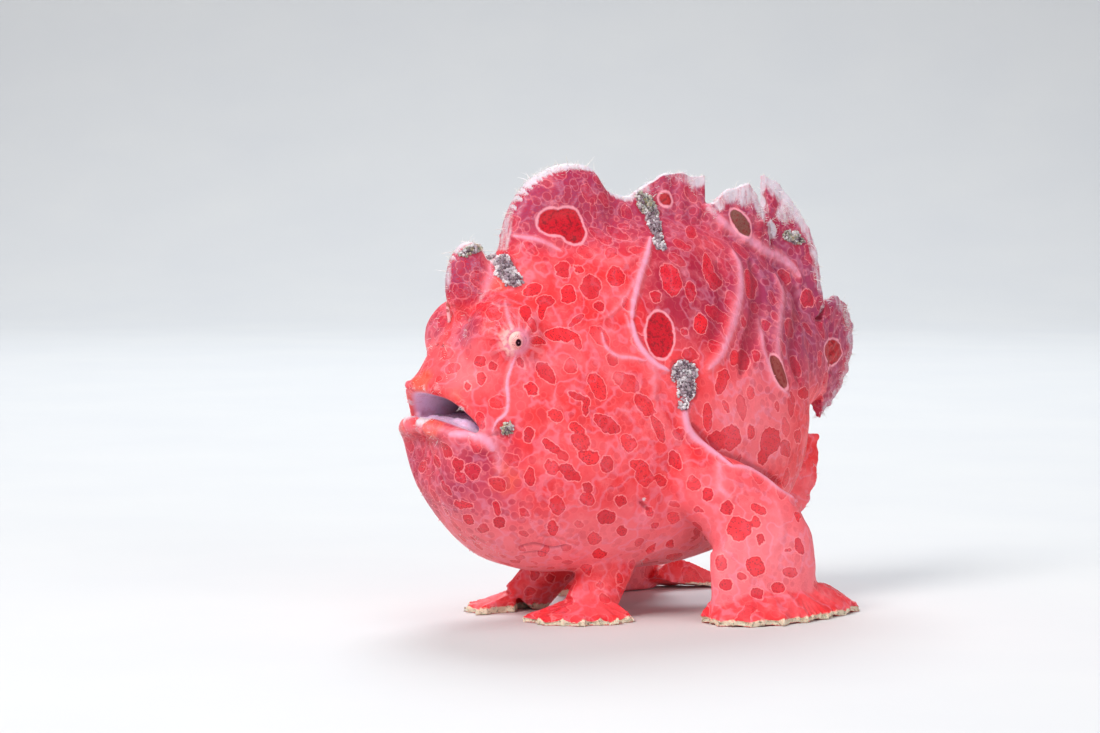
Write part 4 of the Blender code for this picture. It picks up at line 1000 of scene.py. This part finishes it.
def eye_paint():
    """A cream to rosy iris with fine rays and a small dark maroon pupil with a painted glint in its middle, under a
    clear gloss.
    """
    p = Paint("frogfish_eye")
    off = p.math("ADD", p.value("off_axis"), p.times(p.math("SUBTRACT", p.noise(0.5, 2.0), 0.5), 6.0))
    rays = p.math("ADD", p.times(p.value("ray"), 0.4), p.times(p.noise(0.35, 3.0), 1.0))
    fore = p.step(p.math("ADD", p.value("fore"), p.times(p.math("SUBTRACT", p.noise(1.2, 2.0), 0.5), 0.6)), -0.15, 0.35)
    pale = p.mix(fore, (212, 138, 172), (252, 208, 198))
    iris = p.mix(p.step(rays, 0.1, 1.1), (224, 116, 124), pale)
    iris = p.mix(p.step(off, 30.0, 48.0), iris, p.mix(fore, LID_REAR, LID))
    iris = p.mix(p.times(p.step(p.cells(1.1), 0.2, 0.12), 0.6), iris, (120, 50, 60))
    colour = p.mix(p.times(p.step(off, 19.0, 15.0), 0.75), iris, (116, 34, 44))
    colour = p.mix(p.step(off, 15.5, 13.0), colour, (34, 0, 12))
    # A lighter dot in the pupil's middle is a painted glint.
    colour = p.mix(p.times(p.step(off, 4.5, 2.5), 0.5), colour, (150, 90, 110))
    normal = p.bump(p.times(p.noise(0.4, 2.0), p.step(off, 40.0, 70.0)), 0.05, 0.5)
    roughness = p.math("ADD", 0.16, p.times(p.step(off, 40.0, 75.0), 0.25))
    return p.finish(colour, roughness, normal, Coat_Weight=0.12, Coat_Roughness=0.04, Specular_IOR_Level=0.15, IOR=1.36)


def grain_paint():
    """Dull lilac grey grains with pale, brown and yellowish ones among them."""
    p = Paint("crust_grains")
    tint = p.value("tint")
    colour = p.mix(p.step(tint, 0.05, 0.35), CRUST_DARK, CRUST_MIDDLE)
    colour = p.mix(p.step(tint, 0.45, 0.95), colour, CRUST_PALE)
    growth = p.mix(p.step(p.noise(1.1, 2.0), 0.4, 0.6), (138, 150, 128), (172, 156, 92))
    colour = p.mix(p.times(p.value("algae"), p.step(p.noise(1.6, 2.0), 0.4, 0.6), 0.7), colour, growth)
    colour = p.mix(p.times(p.step(p.noise(0.5, 4.0, 0.7), 0.5, 0.68), 0.8), colour, (206, 192, 202))
    colour = p.mix(p.times(p.step(p.noise(0.8, 3.0, 0.6), 0.54, 0.66), 0.6), colour, (104, 66, 72))
    roughness = p.math("ADD", 0.5, p.times(p.noise(0.4, 2.0), 0.4))
    return p.finish(colour, roughness, p.bump(p.noise(0.25, 4.0, 0.7), 0.08, 0.9), Subsurface_Weight=0.1)


def add_grains(skin, values, of_crust):
    """Lumpy grains packed over each crust, the largest in its middle."""
    rng = np.random.default_rng(23)
    points, ways = points_of(skin.data), normals_of(skin.data)
    crust = values["crust"] + 1.5 * noise_at(points, 3.2, 31.0)
    clump = noise_at(points, 2.0, 61.0)
    inside = np.flatnonzero((crust < 0.25) & (values["eye_gap"] > 6) & (values["lining"] < 0.02))
    stone = bmesh.new()
    bmesh.ops.create_icosphere(stone, subdivisions=2, radius=1.0)
    ball = np.array([corner.co for corner in stone.verts])
    sides = np.array([[corner.index for corner in face.verts] for face in stone.faces])
    stone.free()
    places, corners, tints, algae = [], [], [], []
    for i in rng.permutation(inside):
        spot, size = points[i], rng.uniform(0.26, 0.5) + 0.3 * min(1.0, -min(crust[i], 0.0)) * rng.uniform(0, 1)
        if places and min(np.sum((np.array(places) - spot) ** 2, axis=1)) < (1.35 * size) ** 2:
            continue
        places.append(spot)
        lump = 1 + 0.5 * noise_at(ball * 1.6, 1.0, 3.0 * len(places))
        shape = ball * lump[:, None] * size * rng.uniform(0.7, 1.4, 3)
        corners.append(shape + spot + ways[i] * size * 0.35)
        pale = 0.32 + 0.7 * clump[i] + rng.uniform(-0.25, 0.25) + 0.45 * smoothstep(crust[i], -1.0, -0.2)
        pale += 0.5 * smoothstep(crust[i], -2.2, -3.2)
        tints.append(np.full(len(ball), pale))
        algae.append(np.full(len(ball), 1.0 if of_crust[i] in ALGAL_CRUSTS else 0.0))
    faces = [tuple(face + n * len(ball)) for n in range(len(places)) for face in sides]
    mesh = bpy.data.meshes.new("crust_grains")
    mesh.from_pydata((np.concatenate(corners) * MM).tolist(), [], faces)
    put(mesh, "tint", np.concatenate(tints))
    put(mesh, "algae", np.concatenate(algae))
    mesh.shade_smooth()
    mesh.materials.append(grain_paint())
    grains = new_object("crust_grains", mesh)
    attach(grains, "root")


def unwrap(points):
    """Where points lie on a flat map of the skin: once round the fish one way, from nose to tail the other."""
    low, high = np.array(CAD_BOX[0]) / MM, np.array(CAD_BOX[1]) / MM
    forward = (points[:, 0] - low[0]) / (high[0] - low[0])
    round_it = np.arctan2(points[:, 1], points[:, 2] - 0.45 * high[2]) / (2 * math.pi) + 0.5
    return np.column_stack([0.02 + 0.96 * forward, 0.02 + 0.96 * round_it])


def tufts(name, roots, ways, lengths, radii, bends, paint, sides=4, rings=4):
    """Many fine tapered hairs in one mesh, each from its root along its way, drooping by its bend."""
    count = len(roots)
    share = np.linspace(0, 1, rings)
    helper = np.where(np.abs(ways[:, 2:3]) < 0.9, [[0.0, 0.0, 1.0]], [[1.0, 0.0, 0.0]])
    across = np.cross(ways, helper)
    across /= np.linalg.norm(across, axis=1, keepdims=True)
    over = np.cross(ways, across)
    start = roots - ways * np.minimum(lengths, 0.6)[:, None] * 0.5
    spine = start[:, None] + (ways * lengths[:, None])[:, None] * share[None, :, None]
    spine = spine + bends[:, None] * lengths[:, None, None] * (share**2)[None, :, None]
    angle = np.linspace(0, 2 * math.pi, sides, endpoint=False)
    ring = across[:, None] * np.cos(angle)[None, :, None] + over[:, None] * np.sin(angle)[None, :, None]
    width = radii[:, None] * (1 - 0.75 * share**1.5)[None]
    points = spine[:, :, None] + ring[:, None] * width[:, :, None, None]
    points = points.reshape(-1, 3)
    block = rings * sides
    quads, caps = [], [tuple(range((rings - 1) * sides, block)), tuple(range(sides))[::-1]]
    for i in range(rings - 1):
        for j in range(sides):
            k = (j + 1) % sides
            quads.append((i * sides + j, i * sides + k, (i + 1) * sides + k, (i + 1) * sides + j))
    faces = [tuple(n * block + c for c in face) for n in range(count) for face in quads + caps]
    mesh = bpy.data.meshes.new(name)
    mesh.from_pydata((points * MM).tolist(), [], faces)
    home = unwrap(roots)
    local = np.column_stack([np.cos(angle), np.sin(angle)])
    patch = 0.0015 * local[None, None] * (0.4 + 0.6 * share)[None, :, None, None]
    uv = (home[:, None, None] + patch).reshape(-1, 2)
    layer = mesh.uv_layers.new(name="OFBake")
    corner = np.empty(len(mesh.loops), np.int32)
    mesh.loops.foreach_get("vertex_index", corner)
    layer.data.foreach_set("uv", uv[corner].ravel())
    mesh.shade_smooth()
    mesh.materials.append(paint)
    piece = new_object(name, mesh)
    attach(piece, "root")
    return piece


def fuzz_paint():
    p = Paint("pale_fuzz")
    colour = p.mix(p.step(p.noise(2.5, 3.0), 0.4, 0.65), (246, 242, 244), (226, 218, 206))
    roughness = p.math("ADD", 0.5, p.times(p.noise(0.6, 2.0), 0.3))
    return p.finish(colour, roughness, p.bump(p.noise(0.3, 2.0), 0.04, 0.5), Subsurface_Weight=0.2)


def add_fringes(skin, values, skin_material, fuzz):
    """Papillae over the skin, a fringe on the lips and fine fuzz along the tops of the spines and fins."""
    rng = np.random.default_rng(19)
    points, ways = points_of(skin.data), normals_of(skin.data)
    clear = (values["lining"] < 0.1) & (values["eye_gap"] > 5.5) & (points[:, 2] > 3)

    def grow(name, chance, long, thick, lean, paint, sides, rings):
        weight = chance * clear
        picked = np.flatnonzero(rng.uniform(0, 1, len(points)) < weight * SKIN_VOXEL**2)
        along = ways[picked] + rng.normal(0, lean, (len(picked), 3))
        along /= np.linalg.norm(along, axis=1, keepdims=True)
        size = rng.uniform(0.6, 1.4, len(picked))
        bends = rng.normal(0, 0.25, (len(picked), 3)) - (0, 0, 0.12)
        piece = tufts(name, points[picked], along, long * size, thick * size**0.5, bends, paint, sides, rings)
        per = sides * rings
        if paint == skin_material:
            for key, found in values.items():
                put(piece.data, key, np.repeat(found[picked], per))

    quiet = np.maximum(values["frost_and_highlight"], smoothstep(values["crust"], 0.8, -0.2))
    grow("papillae", 0.012 * (1 - quiet), 0.5, 0.2, 0.25, skin_material, 5, 3)
    patchy = 0.2 + 0.8 * smoothstep(noise_at(points, 6.0, 41.0), -0.2, 0.35)
    grow("edge_fuzz", 1.5 * values["frost_and_highlight"] * patchy, 1.15, 0.075, 0.45, fuzz, 3, 4)
    grow("long_threads", 0.09 * values["frost_and_highlight"] * patchy * (points[:, 2] > 80), 2.4, 0.1, 0.5, fuzz, 4, 5)
    face = smoothstep(points[:, 0], -38, -56) * smoothstep(np.abs(points[:, 1]), 14, 6)
    grow("face_fuzz", 0.5 * face * (values["frost_and_highlight"] < 0.3) * patchy, 0.4, 0.045, 0.35, fuzz, 3, 3)
    grow("crust_fuzz", 0.7 * smoothstep(values["crust"], 0.6, -0.6), 1.1, 0.07, 0.6, fuzz, 3, 3)


def lure_paint():
    p = Paint("lure")
    bands = p.math("SINE", p.times(p.noise(3.0, 1.0), 22.0))
    colour = p.mix(p.step(bands, -0.2, 0.6), (238, 170, 176), (176, 60, 70))
    roughness = p.math("ADD", 0.4, p.times(p.noise(0.6, 2.0), 0.25))
    return p.finish(colour, roughness, p.bump(p.noise(0.4, 3.0), 0.08, 0.7), Subsurface_Weight=0.3)


def make_lure(paint):
    """The solid lure, fused finer and rounded, with a brush of threads on its bait."""
    mesh = bpy.data.meshes.new("lure")
    solid = bmesh.new()
    solid.from_mesh(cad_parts["illicium"].data)
    bmesh.ops.remove_doubles(solid, verts=solid.verts, dist=0.001 * MM)
    solid.to_mesh(mesh)
    solid.free()
    rough = new_object("lure_rough", mesh)
    remesh = rough.modifiers.new("Remesh", "REMESH")
    remesh.mode = "VOXEL"
    remesh.voxel_size = 0.13 * MM
    smooth = rough.modifiers.new("Smooth", "SMOOTH")
    smooth.iterations = 6
    fine = bpy.data.meshes.new_from_object(rough.evaluated_get(bpy.context.evaluated_depsgraph_get()))
    bpy.data.objects.remove(rough, do_unlink=True)
    fine.shade_smooth()
    fine.materials.clear()
    fine.materials.append(paint)
    lure = new_object("lure", fine)
    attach(lure, "root")
    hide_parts("illicium")
    points, ways = points_of(fine), normals_of(fine)
    rng = np.random.default_rng(5)
    tail = points[:, 0] > points[:, 0].max() - 4.5
    picked = rng.choice(np.flatnonzero(tail), 160, replace=False)
    along = ways[picked] + np.array([0.5, 0.1, 0.3]) + rng.normal(0, 0.3, (160, 3))
    along /= np.linalg.norm(along, axis=1, keepdims=True)
    size = rng.uniform(0.5, 1.3, 160)
    threads = tufts("bait_threads", points[picked], along, 1.5 * size, 0.09 * size, rng.normal(0, 0.3, (160, 3)), paint)


def floor_paint():
    p = Paint("pale_floor")
    colour = p.mix(p.noise(90.0, 3.0), (208, 209, 212), (216, 216, 216))
    return p.finish(colour, 0.75, p.bump(p.noise(4.0, 3.0), 0.05, 0.2))


def add_stage():
    """A pale floor that rises in a soft sweep far behind the fish."""
    profile = [(-3000.0, 0.0), (1500.0, 0.0)]
    profile += [(1500 + 900 * math.sin(a), 900 - 900 * math.cos(a)) for a in np.linspace(0.1, math.pi / 2, 14)]
    profile.append((2400.0, 3500.0))
    turn = math.radians(CAMERA_AZIMUTH)
    away, side = np.array([-math.sin(turn), math.cos(turn)]), np.array([math.cos(turn), math.sin(turn)])
    points, faces = [], []
    for reach, height in profile:
        for s in (-3500, 3500):
            flat = away * reach + side * s
            points.append((flat[0] * MM, flat[1] * MM, height * MM))
    for i in range(len(profile) - 1):
        faces.append((2 * i, 2 * i + 1, 2 * i + 3, 2 * i + 2))
    mesh = bpy.data.meshes.new("floor")
    mesh.from_pydata(points, [], faces)
    mesh.shade_smooth()
    mesh.materials.append(floor_paint())
    new_object("floor", mesh)


def add_light(name, azimuth, elevation, distance, size, power, colour=(1, 1, 1)):
    data = bpy.data.lights.new(name, "AREA")
    data.shape, data.size = "DISK", size
    data.energy, data.color = power, colour
    turn, lift = math.radians(azimuth), math.radians(elevation)
    way = Vector((math.sin(turn) * math.cos(lift), -math.cos(turn) * math.cos(lift), math.sin(lift)))
    lamp = bpy.data.objects.new(name, data)
    bpy.context.scene.collection.objects.link(lamp)
    lamp.location = Vector((0, 0, 0.06)) + way * distance
    lamp.rotation_euler = way.to_track_quat("Z", "Y").to_euler()


def add_lights():
    add_light("key", -70, 40, 2.0, 0.8, 30.0, (1.0, 0.97, 0.94))
    add_light("fill", 10, 7, 2.0, 1.5, 16.0, (1.0, 0.98, 0.97))
    add_light("rim", 152, 46, 2.0, 0.9, 24.0, (0.9, 0.96, 1.0))
    add_light("top", -20, 84, 2.0, 1.2, 9.0)
    world = bpy.data.worlds.new("studio")
    world.use_nodes = True
    backdrop = world.node_tree.nodes["Background"]
    backdrop.inputs["Color"].default_value = (0.86, 0.88, 0.92, 1.0)
    backdrop.inputs["Strength"].default_value = 0.33
    bpy.context.scene.world = world
    bpy.context.scene.view_settings.view_transform = "Standard"


add_camera()
skin, values, of_crust = make_skin()
skin_material = skin_paint()
skin.data.materials.clear()
skin.data.materials.append(skin_material)
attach(skin, "root")
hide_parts(*FLESH)
make_eyes(eye_paint())
make_lure(lure_paint())
add_grains(skin, values, of_crust)
add_fringes(skin, values, skin_material, fuzz_paint())
add_stage()
add_lights()
